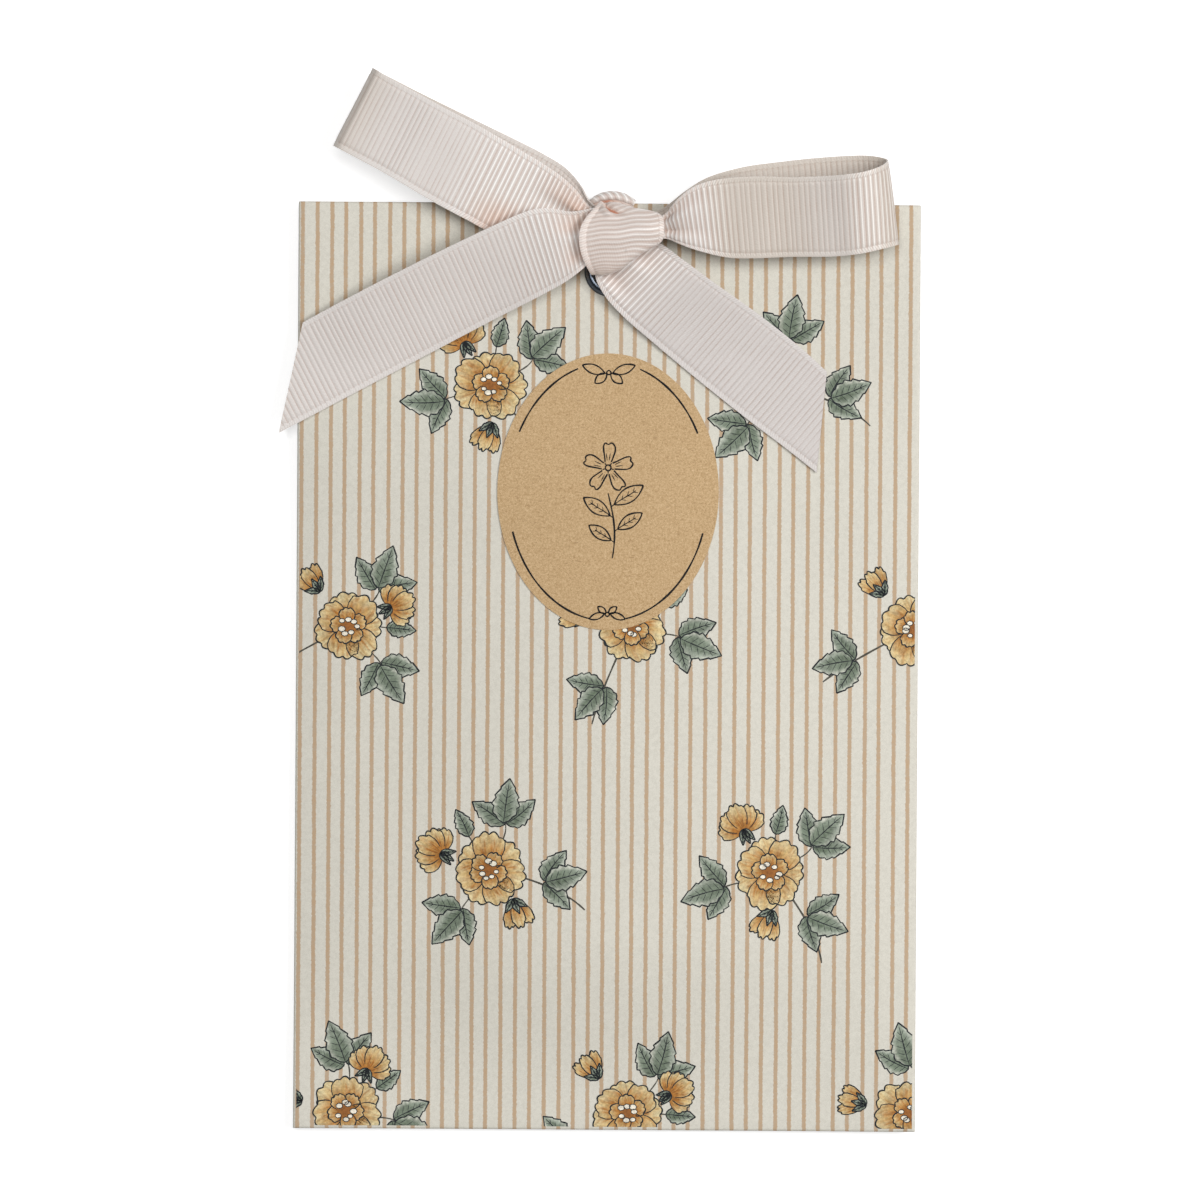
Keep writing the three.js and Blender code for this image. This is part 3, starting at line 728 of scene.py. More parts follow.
@dataclass
class PaperEnvelope:
    """The printed front sheet with its hems and flap turned over, and the back sheet glued under them."""

    cell: float = 1.5
    fold_steps: int = 8
    hole_radius: float = 3.1
    paper: StripedPaper = field(default_factory=StripedPaper)

    def unfolded(self, half: float, low_hem: float, high_hem: float) -> Array:
        """Unfolded places across the front sheet, fine at its folds, with a line over each hem's edge.

        Args:
            half: Where the folds begin, on either side of the middle.
            low_hem: The hem's depth at the low side.
            high_hem: The hem's depth at the high side.

        Returns:
            The places, from one hem's edge to the other's.
        """
        reach = [hem - SHAPE.fold_radius for hem in (low_hem, high_hem)]
        stops = (s for s in (reach[0] - half, half - reach[1]) if -half < s < half)
        marks = sorted({-half, half, *stops})
        front = [even_lines(a, b, self.cell)[:-1] for a, b in zip(marks, marks[1:])]
        bend = math.pi * SHAPE.fold_radius
        bends = half + bend * np.arange(1, self.fold_steps + 1) / self.fold_steps
        low, high = (half + bend + even_lines(0, hem, self.cell)[1:] for hem in reach)
        return np.concatenate([-low[::-1], -bends[::-1], *front, [half], bends, high])

    @staticmethod
    def folded(value: Array, half: float) -> tuple[Array, Array, Array]:
        """Where a sheet folded at half goes: its flat place, how far round it has turned, and how far in it lies."""
        past = np.abs(value) - half
        turn = np.clip(past / SHAPE.fold_radius, 0.0, math.pi)
        inward = np.maximum(0.0, past - math.pi * SHAPE.fold_radius)
        flat = np.sign(value) * (half + SHAPE.fold_radius * np.sin(turn) - inward)
        return np.where(past <= 0, value, flat), turn, inward

    def front_grid(self) -> tuple[Array, Array]:
        """The middle of the folded front sheet, and its places when it lies flat."""
        wide, tall = SHAPE.half_width, SHAPE.half_height
        columns = self.unfolded(wide, SHAPE.side_hem, SHAPE.side_hem)
        a, b = np.meshgrid(columns, self.unfolded(tall, SHAPE.bottom_hem, SHAPE.top_flap))
        (x, turn_x, in_x), (y, turn_y, in_y) = self.folded(a, wide), self.folded(b, tall)
        turn, inward = np.maximum(turn_x, turn_y), np.maximum(in_x, in_y)
        mitre = np.where(inward > 0, inward + SHAPE.mitre_gap, 0.0)
        x = np.where(turn_y > 0, x * (1 - mitre / wide), x)
        y = np.where(turn_x > 0, y * (1 - mitre / tall), y)
        edge = SHAPE.front_height(np.clip(a, -wide, wide), np.clip(b, -tall, tall)) + SHAPE.paper / 2
        turning = edge - SHAPE.fold_radius * (1 - np.cos(turn))
        under = SHAPE.back_height(x, y) - SHAPE.glue_gap - SHAPE.paper / 2
        grid = np.dstack([x, y, np.where(inward > 0, under, turning)])
        grid[(np.minimum(turn_x, turn_y) > 0) & (turn > math.pi / 2 + 0.01)] = np.nan
        return grid, np.dstack([a, b])

    def back_grid(self) -> tuple[Array, Array]:
        """The middle of the back sheet, and its places when it lies flat."""
        x, y = np.meshgrid(*(even_lines(-half, half, self.cell) for half in (SHAPE.half_width, SHAPE.half_height)))
        return np.dstack([x, y, SHAPE.back_height(x, y) + SHAPE.paper / 2]), np.dstack([x, y])

    def build(self) -> list[Piece]:
        """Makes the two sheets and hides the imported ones."""
        made = []
        for name, node, under, held, (grid, flat) in (
            ("paper_front", "front_panel", "paper_back", "folded", self.front_grid()),
            ("paper_back", "back_panel", "paper_front", "laid", self.back_grid()),
        ):
            absent = rounded_hole(grid, SHAPE.eyelet_place, self.hole_radius)
            made.append(sheet_piece(name, grid, SHAPE.paper, flat, absent=absent))
            dress(made[-1], self.paper)
            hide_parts(node)
        return made


class InkDrawing:
    """Flat printed shapes that lie on the paper, each a little above the one below it."""

    lift: float = 0.012
    layer_rise: float = 0.0035

    def __init__(self, height: Callable[[Array, Array], Array]) -> None:
        """Starts an empty drawing over a face of the given height."""
        self.height = height
        self.places: list[Array] = []
        self.colours: list[Array] = []
        self.faces: list[tuple[int, ...]] = []
        self.count = 0

    def grid(self, flat: Array, colours: Array, layer: int) -> None:
        """Adds a filled shape.

        Args:
            flat: Rows and columns of its places in millimetres.
            colours: A linear colour for each place.
            layer: How many shapes it lies on.
        """
        rows, columns = flat.shape[:2]
        z = self.height(flat[..., 0], flat[..., 1]) + self.lift + self.layer_rise * layer
        self.places.append(np.dstack([flat, z]).reshape(-1, 3))
        self.colours.append(np.broadcast_to(colours, (rows, columns, 3)).reshape(-1, 3))
        for r in range(rows - 1):
            first = self.count + r * columns
            self.faces += [(n, n + 1, n + columns + 1, n + columns) for n in range(first, first + columns - 1)]
        self.count += rows * columns

    def stroke(self, line: Array, width: float, colour: Array, layer: int, taper: float) -> None:
        """Adds a pen stroke.

        Args:
            line: The places that the pen follows.
            width: The stroke's width in millimetres.
            colour: Its linear colour.
            layer: How many shapes it lies on.
            taper: How much of the width is left at its ends.
        """
        steps = np.gradient(line, axis=0)
        steps /= np.maximum(np.linalg.norm(steps, axis=1, keepdims=True), 1e-9)
        side = np.stack([-steps[:, 1], steps[:, 0]], axis=1)
        t = np.linspace(0.0, 1.0, len(line))
        pressed = taper + (1 - taper) * np.sin(math.pi * t) ** 0.5
        wander = 1 + 0.22 * np.sin(17.0 * t + 5.0 * line[0, 0]) * np.sin(7.0 * t + line[0, 1])
        half = (width / 2 * pressed * wander)[:, None]
        self.grid(np.stack([line + side * half, line - side * half], axis=1), colour, layer)

    def piece(self, name: str, limits: tuple[float, float] | None = None) -> Piece:
        """Makes the drawing's object, cut off at the sheet's folds if limits are given."""
        piece = new_object(name, np.concatenate(self.places), self.faces)
        ink = piece.data.color_attributes.new(name="ink", type="FLOAT_COLOR", domain="POINT")
        colours = np.concatenate(self.colours)
        ink.data.foreach_set("color", np.hstack([colours, np.ones((len(colours), 1))]).astype(np.float32).ravel())
        with edited(piece) as work:
            for (axis, limit), sign in product(enumerate(limits or ()), (1.0, -1.0)):
                spot, facing = Vector((0, 0, 0)), Vector((0, 0, 0))
                spot[axis], facing[axis] = sign * limit * MM, sign
                cut_off(work, spot, facing)
            bmesh.ops.recalc_face_normals(work, faces=work.faces)
            bmesh.ops.reverse_faces(work, faces=[f for f in work.faces if f.normal.z < 0])
        return piece


def mixed(first: Array, second: Array, share: Array) -> Array:
    """Goes from one linear colour to another by a share for each place."""
    return first * (1 - share[..., None]) + second * share[..., None]


def circle(count: int) -> Array:
    """Places round a circle of radius one, the last on the first."""
    turn = np.radians(np.linspace(0, 360, count))
    return np.stack([np.cos(turn), np.sin(turn)], axis=1)


def turned(places: Array, angle: float, spot: Sequence[float] = (0.0, 0.0)) -> Array:
    """Turns flat places by an angle in degrees and moves them to a spot."""
    c, s = math.cos(math.radians(angle)), math.sin(math.radians(angle))
    return np.asarray(places, float) @ np.array([[c, s], [-s, c]]) + np.asarray(spot)


@dataclass(frozen=True)
class SprigInks:
    """The colours of the printed sprigs."""

    line: str = "23282b"
    petal: str = "c7a468"
    petal_light: str = "dfcfa2"
    petal_deep: str = "ab6f2c"
    heart: str = "8f5a2c"
    heart_light: str = "ece4d2"
    leaf: str = "828d7c"
    leaf_light: str = "bcc3b6"
    leaf_deep: str = "56634f"
    stem: str = "4d4a41"
    bare: str = "dedccf"


@dataclass
class BlossomSprigs:
    """Generic blossom sprigs in a half-drop repeat over the printed face."""

    pitch: tuple[float, float] = (50.0, 86.0)
    start: tuple[float, float] = (-21.0, 50.0)
    turns: tuple[float, float] = (-14.0, 24.0)
    line_width: float = 0.25
    outer_petals: int = 7
    inner_petals: int = 5
    beads: int = 7
    leaf_size: tuple[float, float] = (6.6, 4.5)
    over_edge: tuple[float, float] = (10.0, 6.0)
    trimmed: float = 0.05
    inks: SprigInks = field(default_factory=SprigInks)
    seed: int = 11

    # Each kind of sprig: its stems, its leaves (x, y, way, size), and its side blossom, bud and open blossom.
    plans: tuple[tuple, tuple] = (
        (
            (((13, -13.5), (9.5, -8), (3, -2)), ((1, 1), (5, 4), (6.2, 6.4)), ((-2, -2), (-6, -4), (-7.2, -5)),
             ((0, 1), (-0.3, 4.4), (-0.6, 7))),
            ((6, 6, 112, 1.05), (6.4, 6, 8, 1.0), (6, 6.4, 60, 1.2), (-6.6, -4.6, 252, 1.0), (-7, -4.4, 150, 1.05),
             (-7, -5, 203, 1.2), (8.2, -6.2, -62, 1.0), (8.4, -5.8, 38, 1.0), (8.6, -6.2, -10, 1.15),
             (-0.6, 6.6, 84, 0.8)),
            (-6, 5.6, 128, 5.6), (2.2, -6.6, -98, 5.2), (0.2, -0.2, 6.3),
        ),
        (
            (((-13, -13), (-8.5, -8), (-2, -2)), ((1, 1), (3.6, 6), (3.6, 8)), ((2, -2), (6, -4), (7.6, -5.4)),
             ((1, 0.2), (4.6, 1), (7.2, 1.4))),
            ((3.2, 7.4, 136, 1.0), (3.8, 7.4, 34, 1.05), (3.6, 7.8, 84, 1.2), (7, -5, -100, 1.0), (7.4, -4.8, 2, 1.05),
             (7.4, -5.4, -48, 1.2), (-8.4, -7.6, 152, 1.0), (-8, -8, 250, 1.0), (-8.8, -8, 200, 1.1),
             (6.8, 1.4, 10, 0.8)),
            (6.4, 4.8, 40, 5.2), (-6.2, 4.6, 142, 5.0), (0.2, 0.0, 6.1),
        ),
    )

    def __post_init__(self) -> None:
        """Starts the drawing, its seeded hand and its inks."""
        self.drawing = InkDrawing(SHAPE.face_height)
        self.hand = np.random.default_rng(self.seed)
        self.tint = {name: linear(code) for name, code in vars(self.inks).items()}

    def pen(self, line: Array, weight: float, layer: int, taper: float = 0.5, ink: str = "line") -> None:
        """Draws a line with a share of the pen's width."""
        self.drawing.stroke(line, self.line_width * weight, self.tint[ink], layer, taper)

    def washed(self, name: str, pale: Array, deep: Array) -> Array:
        """The colours of a wash that runs into its ink's light and deep kinds."""
        return mixed(mixed(self.tint[name], self.tint[f"{name}_light"], pale), self.tint[f"{name}_deep"], deep)

    def petal(self, root: Array, angle: float, length: float, width: float, layer: int, tone: float) -> None:
        """Draws one petal with a lobed rim, streaks and an ink outline.

        Args:
            root: Where it grows from.
            angle: Where it points, in degrees.
            length: Its length.
            width: Its greatest width.
            layer: How many shapes it lies on.
            tone: Zero for a light petal, one for a deep one.
        """
        u, v = np.meshgrid(np.linspace(0, 1, 8), np.linspace(-1, 1, 23), indexing="ij")
        phase, lobes = self.hand.uniform(0, 6), self.hand.uniform(4.0, 5.4)
        rim = 0.94 - 0.27 * np.abs(v) ** 2.6 + 0.1 * np.abs(np.sin(lobes * v + phase)) ** 0.8
        spread = np.sin(np.clip(u * 1.9 + 0.2, 0, math.pi * 0.62)) ** 0.9
        flat = np.dstack([u * length * rim, v * width / 2 * spread * (0.35 + 0.65 * u ** 0.5)])
        places = turned(flat, angle, root)
        streak = 0.5 * np.sin(v * 9 + phase + 2 * u) * self.hand.uniform(0.5, 1.0, v.shape)
        deep = np.clip(1.15 - 1.5 * u + 0.35 * tone + 0.55 * streak, 0, 1)
        pale = np.clip(u * 1.3 - 0.35 + 0.8 * streak - 0.3 * tone, 0, 1)
        touch = np.clip(self.hand.uniform(-1.2, 1.0, u.shape), 0, 1) * 0.6
        self.drawing.grid(places, self.washed("petal", pale, np.clip(deep + touch, 0, 1)), layer)
        self.pen(np.concatenate([places[2:, 0], places[-1, 1:-1], places[2:, -1][::-1]]), 1.0, layer + 1)
        for share in (-0.4, 0.05, 0.45):
            column = int(round((share + 1) * 11 + self.hand.uniform(-1, 1)))
            self.pen(places[1 : int(self.hand.integers(4, 6)), column], 0.55, layer + 1, 0.2, "heart")

    def blossom(self, spot: Array, radius: float, angle: float, layer: int) -> None:
        """Draws an open blossom: outer petals, inner petals and a heart of curls and dots."""
        for k in range(self.outer_petals):
            way = angle + 360 * k / self.outer_petals + self.hand.uniform(-5, 5)
            length = radius * self.hand.uniform(0.9, 1.06)
            above = 2 * (k % 2) + 2 * (k == self.outer_petals - 1)
            self.petal(spot, way, length, radius * 0.98, layer + above, k % 2 * 0.4)
        for k in range(self.inner_petals):
            way = angle + 25 + 360 / self.inner_petals * k + self.hand.uniform(-8, 8)
            self.petal(spot, way, radius * 0.52, radius * 0.5, layer + 6 + 2 * (k % 2), 1.0)
        self.heart(spot, radius * 0.24, layer + 10)

    def heart(self, spot: Array, radius: float, layer: int) -> None:
        """Draws a blossom's heart."""
        rings = np.linspace(0.05, 1, 4)[:, None]
        disc = rings[..., None] * radius * circle(19) + spot
        shade = np.broadcast_to(rings * 0.6, disc.shape[:2])
        self.drawing.grid(disc, mixed(self.tint["heart"], self.tint["petal_deep"], shade), layer)
        for k in range(self.beads):
            way = 2 * math.pi * k / self.beads + self.hand.uniform(-0.3, 0.3)
            middle = spot + radius * self.hand.uniform(0.75, 1.1) * np.array([math.cos(way), math.sin(way)])
            bead = middle + circle(8) * (1.3, 1.0) * radius * self.hand.uniform(0.24, 0.36)
            filled = np.stack([bead, np.broadcast_to(middle, bead.shape)], axis=1)
            self.drawing.grid(filled, self.tint["heart_light"], layer + 1)
            self.pen(bead, 0.6, layer + 2, 1.0)

    def side_blossom(self, spot: Array, size: float, angle: float, layer: int) -> None:
        """Draws a half-open blossom seen from its side, with its green cup."""
        for k, way in enumerate((-62, 62, -32, 32, 0)):
            length = size * (0.92 - 0.002 * abs(way))
            self.petal(spot, angle + way, length, size * 0.66, layer + 2 * k, 0.2 + 0.2 * (k % 2))
        for way in (150, 180, 210):
            root = turned((size * 0.1, 0), angle, spot)
            self.leaf(root, angle + way, size * 0.5, size * 0.24, layer + 10, 1)

    def bud(self, spot: Array, size: float, angle: float, layer: int) -> None:
        """Draws a closed bud in its green cup."""
        for k, way in enumerate((-24, 24, 0)):
            self.petal(spot, angle + way, size, size * 0.5, layer + 2 * k, 0.9 - 0.3 * k)
        for way in (-42, 42, 0):
            self.leaf(spot, angle + way, size * 0.55, size * 0.26, layer + 6, 2)

    def leaf(self, root: Array, angle: float, length: float, width: float, layer: int, teeth: int = 5) -> None:
        """Draws a toothed leaf, deeper on one half and bare here and there at its edge, with its veins."""
        last, vein = 4 * max(teeth, 3), 4
        u, v = np.meshgrid(np.linspace(0, 1, last + 1), np.linspace(-1, 1, 2 * vein + 1), indexing="ij")
        swell = np.sin(math.pi * u ** 0.8) ** 0.85 * (1 - 0.18 * u)
        rim = np.abs(v) > 0.9
        notch = 1 - 0.24 * ((u * teeth) % 1.0) * rim
        bend = 0.16 * length * self.hand.uniform(-1, 1) * u ** 2
        places = turned(np.dstack([u * length, v * width / 2 * swell * notch + bend]), angle, root)
        wash = self.hand.uniform(0.4, 1.3, u.shape)
        deep = np.clip((0.75 - np.abs(v + 0.25)) * wash + 0.25 * (v > 0) - 0.25 * u, 0, 1)
        pale = np.clip((u - 0.45) * 1.2 * wash + 0.35 * (v < -0.4), 0, 1)
        rough = self.hand.uniform(0.2, 1.3, u.shape) * np.where(v > 0, 1.0, 0.5)
        edge = np.where(rim, rough, 0.6 * rough * (np.abs(v) > 0.7))
        bare = np.clip(edge * (0.5 + 0.7 * u), 0, 0.95)
        self.drawing.grid(places, mixed(self.washed("leaf", pale, deep), self.tint["bare"], bare), layer)
        self.pen(np.concatenate([places[:, 0], places[::-1, -1]]), 1.0, layer + 1, 0.9)
        self.pen(places[:-2, vein], 0.8, layer + 1, 0.3)
        for k, side in product(range(2, last - 3, 3), (3, -3)):
            start, end = places[k, vein], places[min(k + 3, last), vein + side]
            self.pen(start + (end - start) * np.linspace(0, 0.8, 4)[:, None], 0.45, layer + 1, 0.2)

    def stem(self, points: Sequence[Array], width: float) -> None:
        """Draws a bent stem through some points."""
        knots, t = np.linspace(0, 1, len(points)), np.linspace(0, 1, 26)
        curves = [np.polyfit(knots, values, min(3, len(points) - 1)) for values in np.array(points).T]
        line = np.stack([np.polyval(curve, t) for curve in curves], axis=1)
        self.drawing.stroke(line, width, self.tint["stem"], 0, 0.6)

    def sprig(self, spot: tuple[float, float], angle: float, kind: int) -> None:
        """Draws one sprig of a kind, turned by an angle, at a spot."""

        def at(*place: float) -> Array:
            """A place of the sprig on the face."""
            return turned(place, angle, spot)

        stems, leaves, side, bud, heart = self.plans[kind]
        for k, points in enumerate(stems):
            self.stem([at(*point) for point in points], 0.24 if k else 0.34)
        for k, (x, y, way, size) in enumerate(leaves):
            length, width = (size * full for full in self.leaf_size)
            self.leaf(at(x, y), angle + way, length, width, 1 + 2 * (k % 3))
        self.side_blossom(at(*side[:2]), side[3], angle + side[2], 7)
        self.bud(at(*bud[:2]), bud[3], angle + bud[2], 7)
        self.blossom(at(*heart[:2]), heart[2], angle + 12, 18)

    def build(self) -> list[Piece]:
        """Draws the repeat over the whole face and makes its piece."""
        for column, row, half in product(range(-2, 4), range(-2, 3), (0, 1)):
            x = self.start[0] + self.pitch[0] * (column + half / 2)
            y = self.start[1] + self.pitch[1] * (row + half / 2)
            if abs(x) < SHAPE.half_width + self.over_edge[0] and abs(y) < SHAPE.half_height + self.over_edge[1]:
                self.sprig((x, y), self.turns[(column + row) % 2], half)
        limits = (SHAPE.half_width - self.trimmed, SHAPE.half_height - self.trimmed)
        piece = self.drawing.piece("printed_sprigs", limits)
        dress(piece, PrintedColour())
        return [piece]


@dataclass
class OvalLabel:
    """The kraft paper label with a printed border, a leafy motif at its ends and a line-drawn blossom."""

    width: float = 39.2
    height: float = 49.0
    rise: float = 31.0
    sheet: float = 0.1
    gap: float = 0.13
    line_inset: tuple[float, float] = (1.87, 1.65)
    line_width: float = 0.34
    ink: str = "11100f"
    arcs: tuple[tuple[float, float], ...] = ((107.8, 152.7), (27.0, 71.8), (198.3, 259.5), (280.4, 341.5))

    def __post_init__(self) -> None:
        """Starts the print's drawing."""
        self.drawing = InkDrawing(self.face)

    def face(self, x: Array, y: Array) -> Array:
        """Height of the label's printed face."""
        return SHAPE.face_height(x, y) + self.gap + self.sheet

    def pen(self, line: Array, weight: float, taper: float = 1.0) -> None:
        """Prints a line with a share of the pen's width."""
        self.drawing.stroke(line, self.line_width * weight, linear(self.ink), 0, taper)

    def oval(self, turns: Array, inset: tuple[float, float] = (0.0, 0.0)) -> Array:
        """Places of the label's outline, or inside it, from the cosine and sine of their direction."""
        reach = (self.width / 2 - inset[0], self.height / 2 - inset[1])
        return turns * reach + (0.0, self.rise)

    def paper(self) -> Piece:
        """Makes the label's paper: a middle place and rings round it, above and below."""
        shares = np.linspace(0, 1, 16)[1:, None, None]
        flat = self.oval(shares * circle(145)[:-1])
        ring, last = flat.shape[1], len(flat) - 1
        upper = np.dstack([flat, self.face(flat[..., 0], flat[..., 1])]).reshape(-1, 3)
        top = np.vstack([[0.0, self.rise, self.face(0.0, self.rise)], upper])
        count = len(top)
        faces: list[tuple[int, ...]] = []
        for k in range(ring):
            a, b = 1 + k, 1 + (k + 1) % ring
            faces += [(0, a, b), (count, count + b, count + a)]
            for r in range(0, last * ring, ring):
                quad = (a + r, a + r + ring, b + r + ring, b + r)
                faces += [quad, tuple(count + v for v in reversed(quad))]
            faces.append((a + last * ring, a + last * ring + count, b + last * ring + count, b + last * ring))
        piece = new_object("label_paper", np.vstack([top, top - (0.0, 0.0, self.sheet)]), faces)
        write_weave(piece, np.vstack([top[:, :2], top[:, :2]]))
        face_out(piece)
        return piece

    @staticmethod
    def rim(length: float, width: float, swell: float, count: int, start: float = 0.0) -> Array:
        """A leaf's rim along X, to its tip and back."""
        t = np.linspace(0, 1, count)
        there = np.stack([start + t * length, width / 2 * np.sin(math.pi * t) ** swell], axis=1)
        return np.concatenate([there, there[::-1] * (1, -1)])

    def motif(self, way: float, size: float) -> None:
        """Prints the leafy motif that parts the border at its top (way 1) or bottom (way -1), at a size."""
        base = self.rise + way * (self.height / 2 - self.line_inset[1] - 1.9 * size)
        leaves = ((20, 4.2, 1.6, 0.7), (-40, 2.7, 1.5, 0.35))
        for (tilt, length, width, out), side in product(leaves, (1, -1)):
            leaf = size * turned(self.rim(length, width, 0.8, 18), tilt, (out, 0.0))
            self.pen(leaf * (side, way) + (0.0, base), 0.8)
        self.pen(circle(20) * 0.36 + (0.0, base + way * 0.15), 0.75)

    def blossom(self) -> None:
        """Prints a plain blossom on a leafy twig in the label's middle."""
        t = np.linspace(0, 1, 30)
        heart = np.array([0.0, self.rise + 4.2])
        reach = 1.0 + (3.6 - 0.45 * hump(t, 0.5, 0.09)) * np.sin(math.pi * t) ** 0.55
        outline = np.stack([reach, (t * 2 - 1) * (0.55 + 2.15 * 0.85 * np.sin(math.pi * t ** 0.75))], 1)
        vein, stamen = (np.stack([near + long * t, 0 * t], 1) for near, long in ((1.3, 1.3), (0.55, 0.5)))
        for angle in range(90, 450, 72):
            self.pen(turned(outline, angle, heart), 0.8)
            for tilt in (-8, 8):
                self.pen(turned(vein, angle + tilt, heart), 0.48, 0.2)
            self.pen(turned(stamen, angle - 36, heart), 0.64, 0.6)
        self.pen(heart + 0.5 * circle(24), 0.8)
        twig = np.stack([1.2 * np.sin(t * 2.4), self.rise - 0.3 - 11.5 * t], 1)
        self.pen(twig, 0.96, 0.6)
        for share, side in ((0.22, 1), (0.4, -1), (0.6, 1), (0.78, -1)):
            length, width = 6.6 - 2.4 * share, 2.7 - 0.8 * share
            middle = np.stack([t * (length * 0.86), 0.06 * np.sin(5 * t)], 1)
            lines = [(self.rim(length, width, 0.85, 30, 0.7), 0.8, 0.9), (middle, 0.56, 0.9)]
            for step, lean in product((0.3, 0.5, 0.7), (40, -40)):
                rib = turned(np.stack([t * width * 0.36, 0 * t], 1), lean, (step * length + 0.4, 0.0))
                lines.append((rib, 0.4, 0.2))
            for line, weight, taper in lines:
                self.pen(turned(line, 34) * (side, 1) + twig[int(share * 29)], weight, taper)

    def build(self) -> list[Piece]:
        """Makes the label and its print."""
        paper = self.paper()
        dress(paper, KraftPaper())
        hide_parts("oval_label")
        self.height * MM
        math.pi / 4 * self.width * self.height * MM * MM
        for arc in self.arcs:
            turn = np.radians(np.linspace(*arc, 90))
            self.pen(self.oval(np.stack([np.cos(turn), np.sin(turn)], 1), self.line_inset), 1.0, 0.85)
        self.motif(1.0, 1.0)
        self.motif(-1.0, 0.68)
        self.blossom()
        printed = self.drawing.piece("label_print")
        dress(printed, PrintedColour(name="label_ink", mottled=0.06))
        return [paper, printed]


def smooth_profile(points: Sequence[tuple[float, float]], steps: int) -> Array:
    """Rounds a closed profile's corners.

    Args:
        points: The profile's corners.
        steps: How many times its corners are cut.

    Returns:
        The rounded profile.
    """
    line = np.array(points, float)
    for _ in range(steps):
        after = np.roll(line, -1, axis=0)
        line = np.stack([0.78 * line + 0.22 * after, 0.22 * line + 0.78 * after], axis=1).reshape(-1, 2)
    return line


@dataclass
class Eyelet:
    """The pressed eyelet: a rolled flange and tube on the front, and a washer held by its curl at the back."""

    hole: float = 5.0
    flange: float = 9.0
    rise: float = 0.7
    wall: float = 0.3
    clearance: float = 0.1
    washer: float = 8.6
    washer_sheet: float = 0.3
    curl: float = 1.0
    curl_depth: float = 0.5
    sides: int = 96

    def ring(self, name: str, profile: Sequence[tuple[float, float]]) -> Piece:
        """Turns a closed profile of radius and height about the eyelet's axis."""
        radius, height = smooth_profile(profile, 4).T
        angles = 2 * math.pi * np.arange(self.sides)[:, None] / self.sides
        x, y = radius * np.cos(angles), SHAPE.eyelet_place + radius * np.sin(angles)
        places = np.dstack([x, y, np.broadcast_to(height, x.shape)]).reshape(-1, 3)
        count = len(radius)
        faces = []
        for k, i in product(range(self.sides), range(count)):
            near, far, j = k * count, (k + 1) % self.sides * count, (i + 1) % count
            faces.append((near + i, far + i, far + j, near + j))
        piece = new_object(name, places, faces)
        face_out(piece, 60)
        out = radius - self.hole / 2
        # Painted highlight rings: at the hole and on the flange's outer slope.
        rim_highlight = 0.6 * (1 - ramp(out, 0.5, 1.0)) + 0.95 * hump(out, 1.55, 0.24)
        write_mask(piece, "rim_highlight", np.broadcast_to(rim_highlight, x.shape))
        return piece

    def build(self) -> list[Piece]:
        """Makes the barrel and the washer."""
        inner, outer, flange = self.hole / 2, self.hole / 2 + self.wall, self.flange / 2
        under = SHAPE.top_lift - SHAPE.fold_radius
        seat, low = SHAPE.closure_top + self.clearance, under - 2 * self.clearance - self.washer_sheet
        crown, curled, deepest = seat + self.rise, low - self.curl_depth / 2, low - self.curl_depth
        barrel = [
            (inner, seat), (inner + 0.12, crown - 0.22), (inner + 0.5, crown - 0.03), ((inner + flange) / 2, crown),
            (flange - 0.7, crown - 0.12), (flange - 0.2, seat + 0.3), (flange, seat), (outer, seat), (outer, low),
            (outer + self.curl, low), (outer + self.curl, curled), (outer + self.curl / 2, deepest),
            (inner + 0.15, deepest), (inner, curled),
        ]
        rim, top, hole = self.washer / 2, under - self.clearance, outer + self.clearance
        bottom = top - self.washer_sheet
        washer = [(hole, top), (hole, bottom), (rim - 0.3, bottom), (rim, top - self.washer_sheet / 2), (rim, top)]
        pieces = [self.ring("eyelet_flange", barrel), self.ring("eyelet_back_ring", washer)]
        for piece, node in zip(pieces, ("eyelet_barrel", "eyelet_washer")):
            dress(piece, DarkNickel())
            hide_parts(node)
        return pieces


def rail(points: Sequence[Sequence[float]], values: Array) -> Array:
    """Places on the smooth curve through some points.

    Args:
        points: The points that the curve passes through.
        values: Where on the curve, from zero at its first point to one at its last.

    Returns:
        A place for each value.
    """
    given = np.asarray(points, float)
    ends = np.concatenate([[2 * given[0] - given[1]], given, [2 * given[-1] - given[-2]]])
    spans = len(given) - 1
    at = np.clip(np.asarray(values, float) * spans, 0, spans - 1e-9)
    number = at.astype(int)
    weight = (at - number)[:, None]
    p0, p1, p2, p3 = (ends[number + k] for k in range(4))
    steps = [np.sum((b - a) ** 2, axis=1) ** 0.25 for a, b in ((p0, p1), (p1, p2), (p2, p3))]
    d0, d1, d2 = (np.maximum(step, 1e-4)[:, None] for step in steps)
    t1 = ((p1 - p0) / d0 - (p2 - p0) / (d0 + d1) + (p2 - p1) / d1) * d1
    t2 = ((p2 - p1) / d1 - (p3 - p1) / (d1 + d2) + (p3 - p2) / d2) * d1
    c2, c3 = -3 * p1 + 3 * p2 - 2 * t1 - t2, 2 * p1 - 2 * p2 + t1 + t2
    return p1 + weight * (t1 + weight * (c2 + weight * c3))


def lengths_along(line: Array) -> Array:
    """How far along a line each of its places is."""
    return np.concatenate([[0.0], np.cumsum(np.linalg.norm(np.diff(line, axis=0), axis=1))])


def at_length(line: Array, run: Array, wanted: Array) -> Array:
    """The places of a line at some distances along it."""
    return np.stack([np.interp(wanted, run, line[:, i]) for i in range(3)], axis=1)


